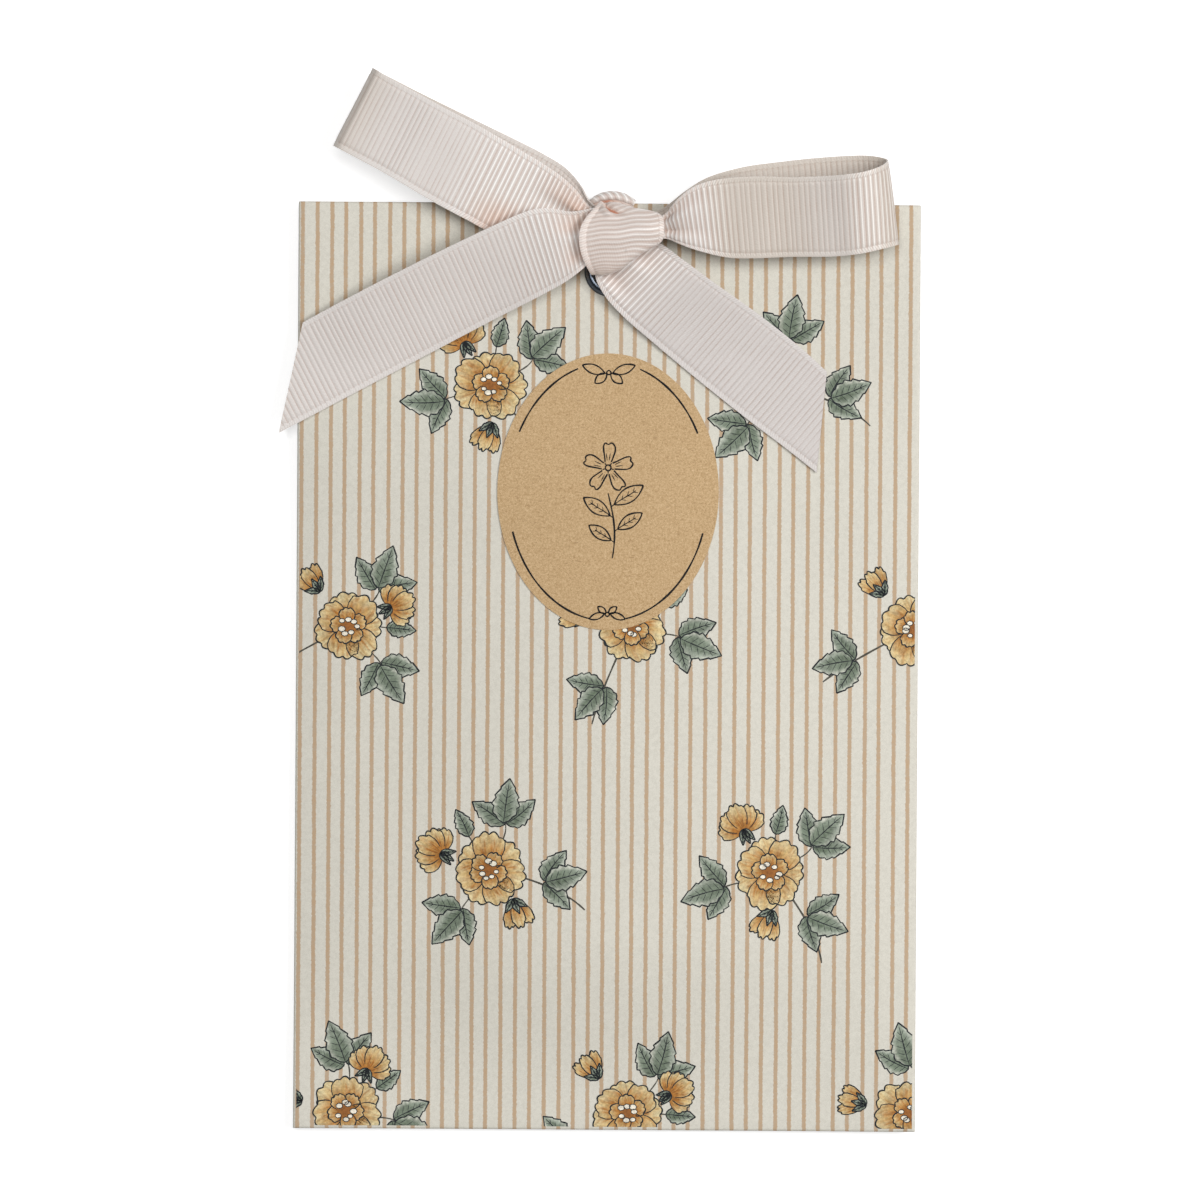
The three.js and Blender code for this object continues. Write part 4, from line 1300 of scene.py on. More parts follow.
@dataclass(frozen=True)
class RibbonStock:
    """The ribbon off the roll: its width, thickness, ribs and woven edge."""

    width: float = 15.0
    thickness: float = 0.45
    gap: float = 0.3
    pitch: float = 0.95
    rows_per_rib: int = 6
    across: tuple[float, ...] = (0.0, 0.08, 0.22, 0.42, 0.62, 0.78, 0.92, 1.06, 1.25, 1.7)

    def columns(self) -> Array:
        """Places across the ribbon, close together at its woven edges."""
        edge = np.array(self.across)
        middle = np.linspace(edge[-1], self.width - edge[-1], 13)[1:-1]
        return np.concatenate([edge, middle, (self.width - edge)[::-1]])

    def crest(self, along: Array) -> Array:
        """How high a rib is, with a groove at each whole pitch."""
        return np.abs(np.sin(math.pi * along / self.pitch)) ** 0.65

    def relief(self, along: Array, across: Array, closeness: Array | float = 1.0) -> Array:
        """The ribbon's thickness at places of its flat cloth.

        Args:
            along: Distance along the ribbon, in millimetres.
            across: Distance across it.
            closeness: The share of the rib height that is left where the ribs are drawn together.

        Returns:
            The thickness at each place.
        """
        crest = self.crest(along)
        own = 0.5 + 0.5 * np.sin(78.233 * np.floor(along / self.pitch + 1e-6))
        edge = np.minimum(across, self.width - across)
        body = ramp(edge, 0.95, 1.2)
        stitches = crest * np.abs(np.sin(math.pi * along / self.pitch * 2))
        selvedge = 0.2 + 0.1 * hump(edge, 0.3, 0.2) + 0.12 * stitches
        rib = self.thickness * (0.58 + 0.42 * crest * (0.8 + 0.2 * own))
        seam = 0.14 * crest * hump(edge, 0.74, 0.12) - 0.1 * hump(edge, 0.98, 0.08)
        cloth = body * rib + (1 - body) * selvedge + seam
        return self.thickness * (1 - closeness) + closeness * cloth


STOCK = RibbonStock()


class Fold(Enum):
    """How a stretch of ribbon ends."""

    LOOP = "loop"
    TAIL = "tail"


@dataclass
class RibbonPiece:
    """A loop or tail of the bow, drawn between two rails in shares of its own size."""

    name: str
    node: str
    body: str
    hinge_body: str
    fold: Fold
    root: Triple
    angle: float
    side: float
    length: float
    lift: float
    upper: Sequence[Triple]
    lower: Sequence[Triple]
    blend_start: Triple
    blend_end: Triple
    held: str = "folded"
    gathered: float = 0.16
    pleats: float = 0.8
    pleat_turn: float = 0.0
    tuck: float = 0.07
    # The next five fields set painted shade on the loops, painted highlights near the root and far end, and painted
    # warm shade in the gathers and beside the tail.
    shaded: Triple = (0.38, 0.5, 0.0)
    gleams: Triple = (0.12, 0.3, 0.8)
    fold_shade_share: float = 1.0
    side_fold_shade: float = 0.0
    far_gleam: float = 0.0
    cut: tuple[tuple[float, float], tuple[float, float]] | None = None
    samples: int = 2400
    finish: Grosgrain = field(default_factory=Grosgrain)

    def edge_line(self, shares: Sequence[Triple]) -> Array:
        """Places along a rail, drawn on into the knot at its root, and at its return too if it is a loop's."""
        ends = [(at - self.tuck, across * 0.75, up) for at, across, up in (shares[0], shares[-1])]
        along, across, up = np.array([ends[0], *shares, *(ends[1:] if self.fold is Fold.LOOP else [])], float).T
        flat = np.stack([along * self.length, self.side * across * STOCK.width], axis=1)
        places = np.column_stack([turned(flat, self.angle, self.root[:2]), self.root[2] + up * self.lift])
        return rail(places, np.linspace(0, 1, self.samples))

    def stretch(self, upper: Array, lower: Array) -> tuple[Array, Array, Array]:
        """Pairs the rails from the root to the far end so that the ribs stand square to the ribbon there.

        Args:
            upper: The upper rail, from its far end to its root.
            lower: The lower rail, from its far end to its root.

        Returns:
            The paired places of both rails and their distance from the far end.
        """
        runs = [lengths_along(line) for line in (upper, lower)]
        middle = (runs[0][-1] + runs[1][-1]) / 2
        ribs = max(1, round(middle / STOCK.pitch))
        distance = np.linspace(0, middle, ribs * STOCK.rows_per_rib + 1)
        stray = 0.09 * np.sin(2.3 * distance) + 0.07 * np.sin(0.71 * distance + 1.0)
        distance = np.clip(distance + stray * np.sin(math.pi * distance / middle), 0, middle)
        a, b = (at_length(line, run, distance + (run[-1] - middle) * (distance / middle) ** 3)
                for line, run in zip((upper, lower), runs))
        return a, b, np.linspace(0, ribs * STOCK.pitch, len(distance))

    def rails(self) -> tuple[Array, Array, Array]:
        """The paired places of both rails, from the root on, and their distance along the ribbon."""
        lines = [self.edge_line(shares) for shares in (self.upper, self.lower)]
        if self.fold is Fold.TAIL:
            a, b, run = self.stretch(*(line[::-1] for line in lines))
            return a[::-1], b[::-1], run[-1] - run[::-1]
        heading = turned((1.0, 0.0), self.angle)
        peaks = [int(np.argmax(line[:, :2] @ heading)) for line in lines]
        out = self.stretch(*(line[: p + 1][::-1] for line, p in zip(lines, peaks)))
        back = self.stretch(*(line[p:] for line, p in zip(lines, peaks)))
        a, b = (np.concatenate([out[i][::-1], back[i][1:]]) for i in (0, 1))
        return a, b, np.concatenate([out[2][-1] - out[2][::-1], out[2][-1] + back[2][1:]])

    def masks(self, along: Array, share: Array, crease: Array) -> dict[str, Array]:
        """The ribbon's colour masks.

        Args:
            along: Shares of its length, as a column.
            share: Shares of its width, as a row.
            crease: How deep each place is in the gathers.

        Returns:
            How much painted warm shade in the folds, painted shade and painted highlight each place has.
        """
        level = np.ones(crease.shape)
        shade = 0 * level
        # Painted highlight near the root, and at the loop's far end by the far gleam share.
        gleam = self.gleams[2] * (1 - ramp(along, *self.gleams[:2])) * level
        gleam = gleam + self.far_gleam * ramp(along, 0.39, 0.42) * (1 - ramp(along, 0.49, 0.51))
        # Painted warm shade in the gathers' creases and beside the tail.
        beside = ramp(along, 0.03, 0.09) * (1 - ramp(along, 0.16, 0.25)) * ramp(share, 0.5, 0.85)
        fold = np.maximum(np.clip(crease, 0, 0.75) * self.fold_shade_share, self.side_fold_shade * beside)
        if self.fold is Fold.LOOP:
            # Painted shade where the loop turns back and lies behind, and near its far end, with less painted warm
            # shade on the turned part.
            turn = ramp(along, 0.42, 0.52)
            behind = turn * (1 - 0.8 * ramp(along, 0.6, 0.8))
            fold *= 1 - 0.7 * turn
            first, full, depth = self.shaded
            front = ramp(along, first, full) - 0.6 * ramp(along, full + 0.08, full + 0.2) * (1 - turn)
            shade += depth * front + (1 - depth) * behind
        return {"fold": fold, "shade": shade, "gleam": gleam}

    def grid(self) -> tuple[Array, Array, dict[str, Array], Array]:
        """The ribbon's places, its flat cloth, its colour masks, and how far each place is gathered."""
        a, b, run = self.rails()
        across = STOCK.columns()
        along, share = np.linspace(0, 1, len(run))[:, None], across[None] / STOCK.width
        grid = a[:, None] * (1 - share)[..., None] + b[:, None] * share[..., None]
        gather, normals = 1 - ramp(along, 0.0, self.gathered), grid_normals(grid)
        if self.fold is Fold.LOOP:
            gather = np.maximum(gather, ramp(along, 1 - self.gathered, 1.0))
        else:
            normals = normals * np.sign(normals[:, :, 2:])
        phase = 4 * math.pi * share + self.pleat_turn + 0.8 * np.sin(3 * along)
        pleat = np.cos(phase) + 0.35 * np.cos(2.1 * phase + 1.0)
        faint = 0.1 * np.sin(run[:, None] / 6.1 + 2 * share) * np.sin(math.pi * share)
        grid = grid + normals * (self.pleats * gather * pleat + faint * (1 - gather))[:, :, None]
        x, y = grid[:, :, 0], grid[:, :, 1]
        floor = SHAPE.face_height(x, y) + STOCK.gap + STOCK.thickness / 2
        over = (np.abs(x) < SHAPE.width / 2) & (np.abs(y) < SHAPE.height / 2)
        grid[:, :, 2] = np.maximum(grid[:, :, 2], np.where(over, floor, SHAPE.closure_top + STOCK.gap))
        flat = np.dstack(np.broadcast_arrays(run[:, None], across[None, :]))
        masks = self.masks(along, share, gather * (0.55 - 0.45 * pleat))
        return grid, flat, masks, np.broadcast_to(gather, x.shape)

    def trim(self, piece: Piece) -> None:
        """Cuts the tail's end along the line from its corner to its tip."""
        corner, tip, root = (np.array([*place[:2], 0.0]) * MM for place in (*self.cut, self.root))
        x, y, _ = tip - corner
        facing = Vector((y, -x, 0.0)).normalized()
        with edited(piece) as work:
            cut_off(work, Vector(corner), -facing if facing.dot(Vector(root - corner)) > 0 else facing)
            bmesh.ops.holes_fill(work, edges=[e for e in work.edges if e.is_boundary], sides=0)

    def build(self) -> Piece:
        """Makes the ribbon piece."""
        grid, flat, masks, gather = self.grid()
        relief = STOCK.relief(flat[:, :, 0], flat[:, :, 1], 1 - 0.25 * gather)
        piece = sheet_piece(self.name, grid, relief, flat, masks)
        if self.cut:
            self.trim(piece)
            face_out(piece)
        dress(piece, self.finish, body=None)
        start, end = (tuple(np.array(place) * MM) for place in (self.blend_start, self.blend_end))
        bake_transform(piece)
        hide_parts(self.node)
        size = (STOCK.width * MM, float(np.max(flat[:, :, 0])) * MM)
        return piece


@dataclass
class Knot:
    """The wrap of ribbon over the middle of the bow, spread at its left edge and drawn in at its right end."""

    place: Triple = (1.9, 76.2, 5.75)
    length: float = 14.6
    height: float = 12.6
    depth: float = 6.0
    ribs: int = 46
    left_edge: float = -5.35
    right_end: float = 9.5
    core: float = 0.86
    dimple: tuple[float, float] = (0.2, 80.75)
    outline: tuple[Triple, ...] = (
        (0.0, 0.43, -0.5), (0.1, 0.46, -0.55), (0.24, 0.45, -0.53), (0.4, 0.4, -0.46), (0.56, 0.37, -0.34),
        (0.72, 0.35, -0.24), (0.86, 0.335, -0.17), (0.95, 0.32, -0.13), (1.0, 0.3, -0.1),
    )

    def ring(self, across: Array, angles: Array, scale: float = 1.0) -> Array:
        """Places round the knot.

        Args:
            across: Shares of the ribbon's width, from the knot's left edge to its right end.
            angles: Angles round the knot, zero at its upper edge and a quarter turn at its front.
            scale: How large the ring is.

        Returns:
            A grid of places, one row for each angle.
        """
        shares, *edges = np.array(self.outline).T
        top, low = (np.interp(across, shares, edge) for edge in edges)
        full = np.sqrt(np.clip(1 - (1.72 * (across - 0.4)) ** 2 * 0.62, 0.05, 1))
        w, t = np.meshgrid(across, angles)
        c, s = np.cos(t), np.sin(t)
        y = self.place[1] + ((top + low) / 2 + (top - low) / 2 * c * scale) * self.height
        z = self.place[2] + (0.5 + full / 2 * np.sign(s) * np.abs(s) ** 0.85 * scale) * self.depth
        left = self.left_edge + 4.0 * np.clip(c, 0, 1) ** 2.2 + 2.2 * np.clip(-c, 0, 1) ** 2.2
        left += 3.0 * np.clip(-s, 0, 1)
        return np.dstack([left + (self.right_end - 0.9 * c ** 4 - left) * w ** 0.9, y, z])

    def run(self, x: Array, y: Array, angles: Array) -> Array:
        """How far round the ribbon each place is, so that its ribs lie level on the knot's front.

        Args:
            x: The places along X.
            y: The places along Y.
            angles: The angle of each row of places.

        Returns:
            The distance along the ribbon.
        """
        level = (y - 0.1 * (x + 5.0) + 0.1 * np.sin(1.1 * x) - self.place[1]) / self.height
        _, top, low = self.outline[1]
        turned_to = np.arccos(np.clip((level - (top + low) / 2) / ((top - low) / 2), -1, 1))
        rows = angles[:, None]
        turned_to = np.where(rows > math.pi, 2 * math.pi - turned_to, np.where(rows < 0, -turned_to, turned_to))
        return (turned_to - angles[0]) / (2 * math.pi) * self.ribs * STOCK.pitch

    def build(self) -> list[Piece]:
        """Makes the wrap and the ribbon inside it."""
        angles = np.linspace(-0.55 * math.pi, 1.45 * math.pi, self.ribs * STOCK.rows_per_rib + 1)
        across = np.unique(np.concatenate([STOCK.columns(), np.linspace(1.9, 13.1, 39)])) / STOCK.width
        grid = self.ring(across, angles)
        x, y, z = (grid[:, :, i] for i in range(3))
        facing = ramp(z, self.place[2] + 2.0, self.place[2] + 3.6)
        right, up = x - self.dimple[0], y - self.dimple[1]
        beside = 0.87 * right - 0.5 * up
        bent = 0.5 * right + 0.87 * up - 0.12 * beside**2
        dent = hump(bent, 0.0, 0.42) * hump(beside, 0.0, 1.5) * facing
        ridge = hump(bent, -0.85, 0.5) * hump(beside, -0.6, 1.9) * facing
        sag = 0.16 * np.sin(angles * 5.3)[:, None] * np.sin(math.pi * across)
        lip = 0.45 * hump(across * STOCK.width, 0.0, 0.8)
        outward = grid_normals(grid)
        centre = (*self.place[:2], self.place[2] + self.depth / 2)
        outward *= np.sign(np.sum(outward * (grid - centre), axis=2))[:, :, None]
        grid = grid + outward * (0.5 * ridge - 1.5 * dent + sag + lip)[:, :, None]
        flat = np.dstack(np.broadcast_arrays(self.run(x, y, angles), across * STOCK.width))
        spacing = np.linalg.norm(np.diff(grid, axis=0), axis=2)
        close = np.clip(np.vstack([spacing, spacing[-1:]]) * STOCK.rows_per_rib / STOCK.pitch, 0.3, 1.0)
        # Painted warm shade in the dent, where the ribs crowd together and over the knot's left part; then a painted
        # highlight, stronger on its right half.
        fold = np.clip(1.35 * dent + 0.3 * (1 - close) + 0.22 * (1 - ramp(x, -2.0, 6.0)), 0, 1)
        masks = {"fold": fold, "gleam": np.broadcast_to(0.4 + 0.3 * ramp(across, 0.3, 0.8), fold.shape)}
        wrap = sheet_piece("knot_wrap", grid, STOCK.relief(flat[:, :, 0], flat[:, :, 1], close), flat, masks)
        core = self.ring(np.linspace(0.12, 0.9, 14), np.linspace(0, 2 * math.pi, 49), self.core)
        # The ribbon inside the knot is painted warm shade all over.
        inner = sheet_piece("knot_core", core, 0.4, core[:, :, :2], {"fold": np.ones(core.shape[:2])})
        for piece in (wrap, inner):
            dress(piece, Grosgrain())
        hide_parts("bow_knot")
        return [wrap, inner]


@dataclass
class HangerStrand:
    """The ribbon that runs through the eyelet and over the top edge, drawn together like a cord."""

    width: float = 7.8
    thickness: float = 0.9
    throat: float = 4.1
    gap: float = 0.15
    slant: float = 0.72
    knot: Knot = field(default_factory=Knot)
    eyelet: Eyelet = field(default_factory=Eyelet)

    def route(self) -> list[Triple]:
        """The strand's way: whether it is squeezed by the eyelet, its place along Y, and its height."""
        half, thick, edge, hole = self.thickness / 2, self.thickness, SHAPE.height / 2, SHAPE.eyelet_place
        below = SHAPE.top_lift - SHAPE.fold_radius
        front = SHAPE.closure_top + self.eyelet.clearance + self.eyelet.rise + self.gap + half
        sunk = 3 * self.eyelet.clearance + self.eyelet.washer_sheet + self.eyelet.curl_depth
        back = below - sunk - self.gap - half
        middle = (SHAPE.closure_top + below) / 2
        return [
            (0, self.knot.place[1] + self.knot.height / 4, front), (0, edge - thick, front),
            (0, edge + thick, middle + thick), (0, edge + thick, middle - thick), (0, edge - thick, back + half),
            (0, hole + self.eyelet.washer / 2 + half, back), (1, hole + self.throat / 2, back),
            (1, hole, middle - thick), (1, hole, middle), (1, hole, middle + thick),
            (1, hole + self.throat / 2, front), (0, self.knot.place[1] - self.knot.height / 8, front),
        ]

    def build(self) -> Piece:
        """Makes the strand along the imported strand's route."""
        line = rail(self.route(), np.linspace(0, 1, 260))
        run = lengths_along(line * (0, 1, 1))[:, None]
        across = np.linspace(-1, 1, 17)[None, :]
        width = (self.width + (self.throat - self.width) * np.clip(line[:, :1], 0, 1)) / 2
        peak = float(run[np.argmax(line[:60, 1]), 0])
        over = hump(run, peak, 2.6)
        x = width * across + 0.45 * over
        crown = over * (1.55 * (1 - np.abs(across) ** 2.2) - 0.75)
        beyond = (run - peak + 0.85) / 0.78
        cord = np.sqrt(np.clip(1 - beyond**2, 0, 1))
        under = ramp(run, peak - 4.0, peak - 2.2) * ramp(-beyond, 0.7, 1.3)
        rise = 0.5 * cord - 0.5 * under - 0.8 * over * np.abs(across) ** 3
        grid = np.dstack([x, line[:, 1:2] + crown, line[:, 2:] + rise])
        slanted = self.slant * x + run * 0.9
        flat = np.dstack([slanted, np.broadcast_to(STOCK.width / 2 + across * 5.5, x.shape)])
        thick = self.thickness * (0.72 + 0.28 * STOCK.crest(slanted)) * (1 - 0.4 * under)
        # Painted warm shade in the hollow under the cord, less on the cord itself, and a painted highlight along the
        # cord.
        fold = np.clip(0.25 + 0.7 * under * hump(x, -0.6, 2.2) - 0.25 * cord, 0, 1)
        masks = {"fold": fold, "gleam": np.broadcast_to(0.8 * cord, x.shape)}
        piece = sheet_piece("strand_over_top", grid, thick, flat, masks)
        dress(piece, Grosgrain())
        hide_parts("hanger_strand")
        return piece


@dataclass
class Bow:
    """The ribbon bow: two loops, two tails, the knot and the strand behind it."""

    knot: Knot = field(default_factory=Knot)
    strand: HangerStrand = field(default_factory=HangerStrand)

    def beside_knot(self, along: float, up: float) -> Triple:
        """A place beside the knot, in shares of its size, at the height of a ribbon's root."""
        x = self.knot.place[0] + along * self.knot.length
        y = self.knot.place[1] + up * self.knot.height
        return (x, y, SHAPE.closure_top + STOCK.gap + STOCK.thickness / 2)

    def left_loop(self) -> RibbonPiece:
        """The left loop, pressed nearly flat."""
        return RibbonPiece(
            name="loop_left", node="bow_loop_left", body="left_loop", hinge_body="envelope", fold=Fold.LOOP,
            root=self.beside_knot(-0.5, 0.22), angle=153.7, side=-1, length=45, lift=4.6,
            upper=[(0, 0.2, 0.96), (0.06, 0.29, 0.98), (0.13, 0.358, 0.93), (0.22, 0.4, 0.88), (0.34, 0.427, 0.9),
                   (0.52, 0.46, 1.0), (0.68, 0.468, 1.06), (0.8, 0.48, 1.0), (0.9, 0.49, 0.97), (0.975, 0.507, 0.9),
                   (0.991, 0.515, 0.46), (0.96, 0.51, 0.12), (0.82, 0.505, 0.02), (0.55, 0.51, 0.04),
                   (0.35, 0.516, 0.08), (0.24, 0.512, 0.12), (0.142, 0.482, 0.2), (0.054, 0.372, 0.32),
                   (0, 0.26, 0.46)],
            lower=[(0, -0.26, 0.9), (0.09, -0.44, 0.82), (0.24, -0.59, 0.74), (0.4, -0.592, 0.78), (0.58, -0.578, 0.9),
                   (0.7, -0.552, 0.96), (0.8, -0.535, 0.9), (0.9, -0.527, 0.88), (0.978, -0.52, 0.82),
                   (0.993, -0.515, 0.4), (0.96, -0.505, 0.1), (0.82, -0.5, 0.0), (0.55, -0.47, 0.02),
                   (0.24, -0.45, 0.06), (0.09, -0.36, 0.2), (0, -0.22, 0.4)],
            blend_start=(-5.0, 78.6, 8.0), blend_end=(-12.0, 82.5, 8.0), pleats=0.6, pleat_turn=0.4,
            shaded=(0.38, 0.46, 0.2), side_fold_shade=0.7, gleams=(0.19, 0.31, 0.95),
        )

    def right_loop(self) -> RibbonPiece:
        """The right loop, standing open."""
        return RibbonPiece(
            name="loop_right", node="bow_loop_right", body="right_loop", hinge_body="envelope", fold=Fold.LOOP,
            root=self.beside_knot(0.56, 0.08), angle=7.5, side=1, length=41, lift=9.0,
            upper=[(0, 0.185, 0.66), (0.049, 0.312, 0.82), (0.12, 0.44, 0.92), (0.2, 0.5, 0.95), (0.3, 0.51, 0.92),
                   (0.42, 0.488, 0.86), (0.556, 0.433, 0.8), (0.68, 0.4, 0.84), (0.8, 0.382, 0.95), (0.88, 0.39, 0.96),
                   (0.945, 0.43, 0.82), (0.978, 0.478, 0.56), (0.975, 0.52, 0.34), (0.9, 0.588, 0.16),
                   (0.7, 0.634, 0.06), (0.5, 0.644, 0.06), (0.36, 0.636, 0.1), (0.2, 0.563, 0.14), (0.1, 0.438, 0.18),
                   (0, 0.27, 0.24)],
            lower=[(0, -0.1, 0.6), (0.05, -0.18, 0.68), (0.107, -0.265, 0.72), (0.246, -0.41, 0.72),
                   (0.36, -0.457, 0.68), (0.514, -0.492, 0.62), (0.7, -0.551, 0.68), (0.81, -0.56, 0.76),
                   (0.9, -0.538, 0.7), (0.965, -0.512, 0.5), (0.982, -0.495, 0.28), (0.93, -0.46, 0.1),
                   (0.7, -0.41, 0.02), (0.42, -0.36, 0.04), (0.2, -0.26, 0.1), (0, -0.08, 0.2)],
            blend_start=(9.0, 77.0, 9.0), blend_end=(16.0, 78.0, 9.0), pleats=0.45, pleat_turn=1.1,
            shaded=(0.1, 0.18, 1.0), gleams=(0.13, 0.2, 0.95), fold_shade_share=0.35, far_gleam=0.8,
        )

    def left_tail(self) -> RibbonPiece:
        """The left tail, which lies over the left loop beside the knot."""
        return RibbonPiece(
            name="tail_left", node="ribbon_tail_left", body="left_tail", hinge_body="left_loop", fold=Fold.TAIL,
            root=self.beside_knot(-0.5, -0.09), angle=207.5, side=-1, length=57, lift=5.4, held="draped",
            upper=[(-0.02, 0.36, 1.04), (0.04, 0.52, 1.12), (0.08, 0.582, 1.13), (0.13, 0.612, 1.1),
                   (0.229, 0.632, 1.02), (0.42, 0.653, 0.84), (0.65, 0.661, 0.5), (0.88, 0.648, 0.12),
                   (1.16, 0.6, 0.0)],
            lower=[(0.035, -0.31, 1.04), (0.09, -0.345, 0.94), (0.17, -0.354, 0.7), (0.35, -0.35, 0.3),
                   (0.56, -0.357, 0.1), (0.82, -0.369, 0.04), (1.16, -0.385, 0)],
            blend_start=(-5.0, 75.0, 9.0), blend_end=(-12.0, 71.5, 8.0), gathered=0.14, pleats=0.35,
            gleams=(0.12, 0.3, 0.75), cut=((-54.2, 60.8), (-58.5, 40.6)),
        )

    def right_tail(self) -> RibbonPiece:
        """The right tail, which comes out under the knot."""
        return RibbonPiece(
            name="tail_right", node="ribbon_tail_right", body="right_tail", hinge_body="envelope", fold=Fold.TAIL,
            root=self.beside_knot(0.1, -0.34), angle=-39.6, side=1, length=48, lift=2.4, held="draped",
            upper=[(-0.03, 0.3, 0.8), (0.044, 0.394, 0.78), (0.158, 0.422, 0.62), (0.3, 0.452, 0.38),
                   (0.5, 0.503, 0.16), (0.7, 0.519, 0.06), (0.83, 0.5, 0.02), (1.08, 0.48, 0.0)],
            lower=[(-0.057, -0.393, 0.9), (0.02, -0.5, 0.66), (0.12, -0.545, 0.42), (0.263, -0.553, 0.22),
                   (0.45, -0.552, 0.1), (0.7, -0.535, 0), (0.909, -0.503, 0), (1.08, -0.49, 0)],
            blend_start=(3.4, 71.9, 6.4), blend_end=(9.5, 66.8, 5.5), gathered=0.2, pleats=0.5, tuck=0.015,
            gleams=(0.12, 0.3, 0.7), fold_shade_share=0.45, cut=((38.6, 52.3), (36.9, 34.6)),
            # A darker copy of the ribbon's finish: painted shade over the right tail, with deeper painted shade in its
            # grooves.
            finish=Grosgrain(name="painted_shade_grosgrain", thread="cfc8c4", groove="ac978b"),
        )

    def build(self) -> list[Piece]:
        """Makes all of the bow's pieces."""
        ribbons = [make().build() for make in (self.left_loop, self.right_loop, self.left_tail, self.right_tail)]
        return [*ribbons, *self.knot.build(), self.strand.build()]


@dataclass
class ScentedFilling:
    """The felted pouch inside the envelope, sealed at its rim, with its grains."""

    width: float = 86.0
    top: float = 48.0
    bottom: float = 68.0
    sheet: float = 0.15
    gap: float = 0.12
    seal: float = 3.0
    pouch_ramp: float = 12.0
    inset: float = 8.0
    cell: float = 1.2
    grain: float = 1.35
    grain_pitch: float = 2.1
    seed: int = 5

    def floor(self, x: Array, y: Array) -> Array:
        """Height of the pouch's back sheet."""
        return SHAPE.back_height(x, y) + SHAPE.paper + self.gap

    def from_edge(self, x: Array, y: Array) -> Array:
        """How far inside the pouch's edge a place is."""
        return np.minimum(self.width / 2 - np.abs(x), np.minimum(self.top - y, y + self.bottom))

    def roof(self, x: Array, y: Array) -> Array:
        """Height of the pouch's front sheet."""
        filled = ramp(self.from_edge(x, y), self.seal, self.pouch_ramp)
        sealed = self.floor(x, y) + self.sheet + 0.08
        full = SHAPE.front_height(x, y) - self.gap - self.sheet
        lumps = 0.12 * np.sin(x / 1.9 + np.sin(y / 3.0)) * np.sin(y / 2.3) * filled
        return sealed + filled * np.maximum(0, full - sealed) + lumps - 0.1

    def pouch(self) -> Piece:
        """Makes the pouch as one closed form with a pressed seal."""
        side = self.width / 2
        x, y = np.meshgrid(even_lines(-side, side, self.cell), even_lines(-self.bottom, self.top, self.cell))
        pressed = 0.06 * (self.from_edge(x, y) < self.seal) * (np.sin(x * 2.6) * np.sin(y * 2.6) > 0)
        upper, lower = self.roof(x, y) + self.sheet, self.floor(x, y)
        middle = np.dstack([x, y, (upper + lower) / 2])
        piece = sheet_piece("grain_pouch", middle, 0.0, middle[:, :, :2])
        half = ((upper - lower) / 2 - pressed / 2).ravel() * MM
        places = np.array([v.co for v in piece.data.vertices])
        places[:, 2] += np.concatenate([half, -half])
        piece.data.vertices.foreach_set("co", places.ravel())
        face_out(piece)
        return piece

    def grains(self) -> Piece:
        """Makes the heap of grains, each a chip of its own size and tone."""
        hand = np.random.default_rng(self.seed)
        chip = np.array([(1, 0, 0), (-1, 0, 0), (0, 1, 0), (0, -1, 0), (0, 0, 1), (0, 0, -1)], float)
        sides = [(0, 2, 4), (2, 1, 4), (1, 3, 4), (3, 0, 4), (2, 0, 5), (1, 2, 5), (3, 1, 5), (0, 3, 5)]
        places, faces, tones = [], [], []
        reach = self.width / 2 - self.inset - 1
        columns = np.arange(-reach, reach, self.grain_pitch)
        rows = np.arange(self.inset - self.bottom + 1, self.top - self.inset - 1, self.grain_pitch)
        for gx, gy in product(columns, rows):
            x, y = gx + hand.uniform(-0.5, 0.5), gy + hand.uniform(-0.5, 0.5)
            level = float(self.floor(x, y)) + self.sheet + 0.1 + self.grain / 2
            high = float(self.roof(x, y)) - 0.2
            while level + self.grain / 2 < high:
                body = chip * self.grain / 2 * hand.uniform(0.7, 1.0, 3)
                body[:, :2] = turned(body[:, :2], hand.uniform(0, 180))
                faces += [tuple(len(places) * len(chip) + i for i in face) for face in sides]
                places.append(body + (x, y, level))
                tones += [hand.uniform(0, 1)] * len(chip)
                level += self.grain * 1.25
        piece = new_object("scented_grains", np.concatenate(places), faces)
        write_mask(piece, "own_tone", np.array(tones))
        piece.data.polygons.foreach_set("use_smooth", [False] * len(piece.data.polygons))
        return piece

    def build(self) -> list[Piece]:
        """Makes the pouch and the grains in it."""
        pouch, grains = self.pouch(), self.grains()
        dress(pouch, NonWoven())
        dress(grains, ScentedGrain())
        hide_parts("inner_pouch_back", "inner_pouch_front")
        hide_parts("granule_fill")
        return [pouch, grains]


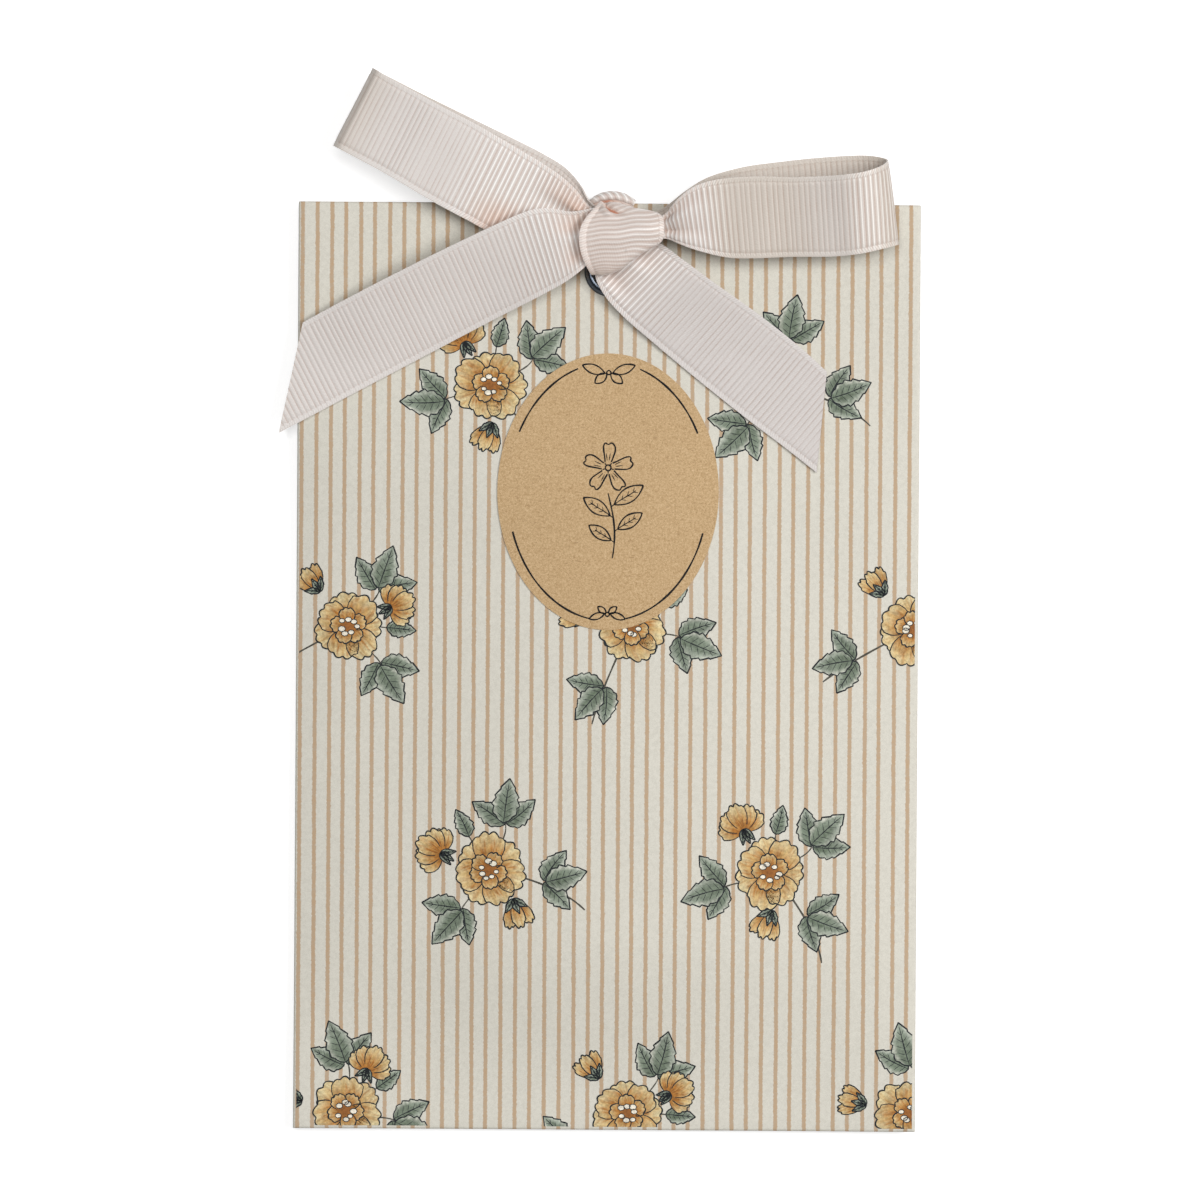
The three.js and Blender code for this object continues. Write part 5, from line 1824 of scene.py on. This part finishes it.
@dataclass
class Studio:
    """The white table, the soft light from the upper right and the camera straight above."""

    distance: float = 2000.0
    aim: tuple[float, float] = (-1.299, 11.817)
    paper_level: float = 3.5
    across: float = 212.6
    turn: float = 0.37
    sensor: float = 36.0
    sky: float = 0.2
    table: float = 2000.0
    table_gap: float = 0.4
    lit: Triple = (0.0, 0.02, 0.0)
    lamps: tuple[tuple[str, Triple, float, float], ...] = (
        ("key", (0.75, 0.14, 1.0), 0.55, 9.5),
        ("fill", (-0.14, 0.32, 1.5), 0.6, 8.0),
    )

    @staticmethod
    def put(data: bpy.types.ID, spot: Triple, turn: Sequence[float]) -> Piece:
        """Puts a camera or lamp in the scene, at a spot in metres and turned."""
        made = bpy.data.objects.new(data.name, data)
        made.location, made.rotation_euler = spot, turn
        bpy.context.scene.collection.objects.link(made)
        return made

    def camera(self) -> None:
        """Sets the camera so that the sachet fills the picture as in the photograph."""
        data = bpy.data.cameras.new("overhead")
        data.sensor_width = self.sensor
        data.lens = self.sensor * self.distance / self.across
        data.clip_start, data.clip_end = 0.01, 20.0
        spot = (self.aim[0] * MM, self.aim[1] * MM, (self.distance + self.paper_level) * MM)
        bpy.context.scene.camera = self.put(data, spot, (0.0, 0.0, math.radians(self.turn)))

    def lamp(self, name: str, spot: Triple, size: float, power: float) -> None:
        """Adds a square soft lamp, in metres and watts, that faces the sachet."""
        data = bpy.data.lights.new(name, "AREA")
        data.shape, data.size, data.energy = "SQUARE", size, power
        self.put(data, spot, (Vector(self.lit) - Vector(spot)).to_track_quat("-Z", "Y").to_euler())

    def build(self) -> None:
        """Makes the table, the lamps, the sky and the camera."""
        self.camera()
        corners = [(x * self.table, y * self.table, -self.table_gap) for x, y in ((-1, -1), (1, -1), (1, 1), (-1, 1))]
        floor = new_object("table_top", np.array(corners), [(0, 1, 2, 3)])
        floor.data.materials.append(PaleFloor().material())
        for lamp in self.lamps:
            self.lamp(*lamp)
        world = bpy.data.worlds.new("sky")
        world.use_nodes = True
        background = world.node_tree.nodes["Background"]
        background.inputs["Color"].default_value = (1.0, 1.0, 1.0, 1.0)
        background.inputs["Strength"].default_value = self.sky
        bpy.context.scene.world = world
        bpy.context.scene.view_settings.view_transform = "Standard"


def main() -> None:
    """Builds the sachet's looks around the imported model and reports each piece."""
    logging.basicConfig(level=logging.INFO, format="%(message)s")
    Studio().build()
    for part in (PaperEnvelope(), BlossomSprigs(), OvalLabel(), Eyelet(), Bow(), ScentedFilling()):
        for piece in part.build():
            LOG.info("%s: %s, %d faces", type(part).__name__, piece.name, len(piece.data.polygons))


if __name__ == "__main__":
    main()
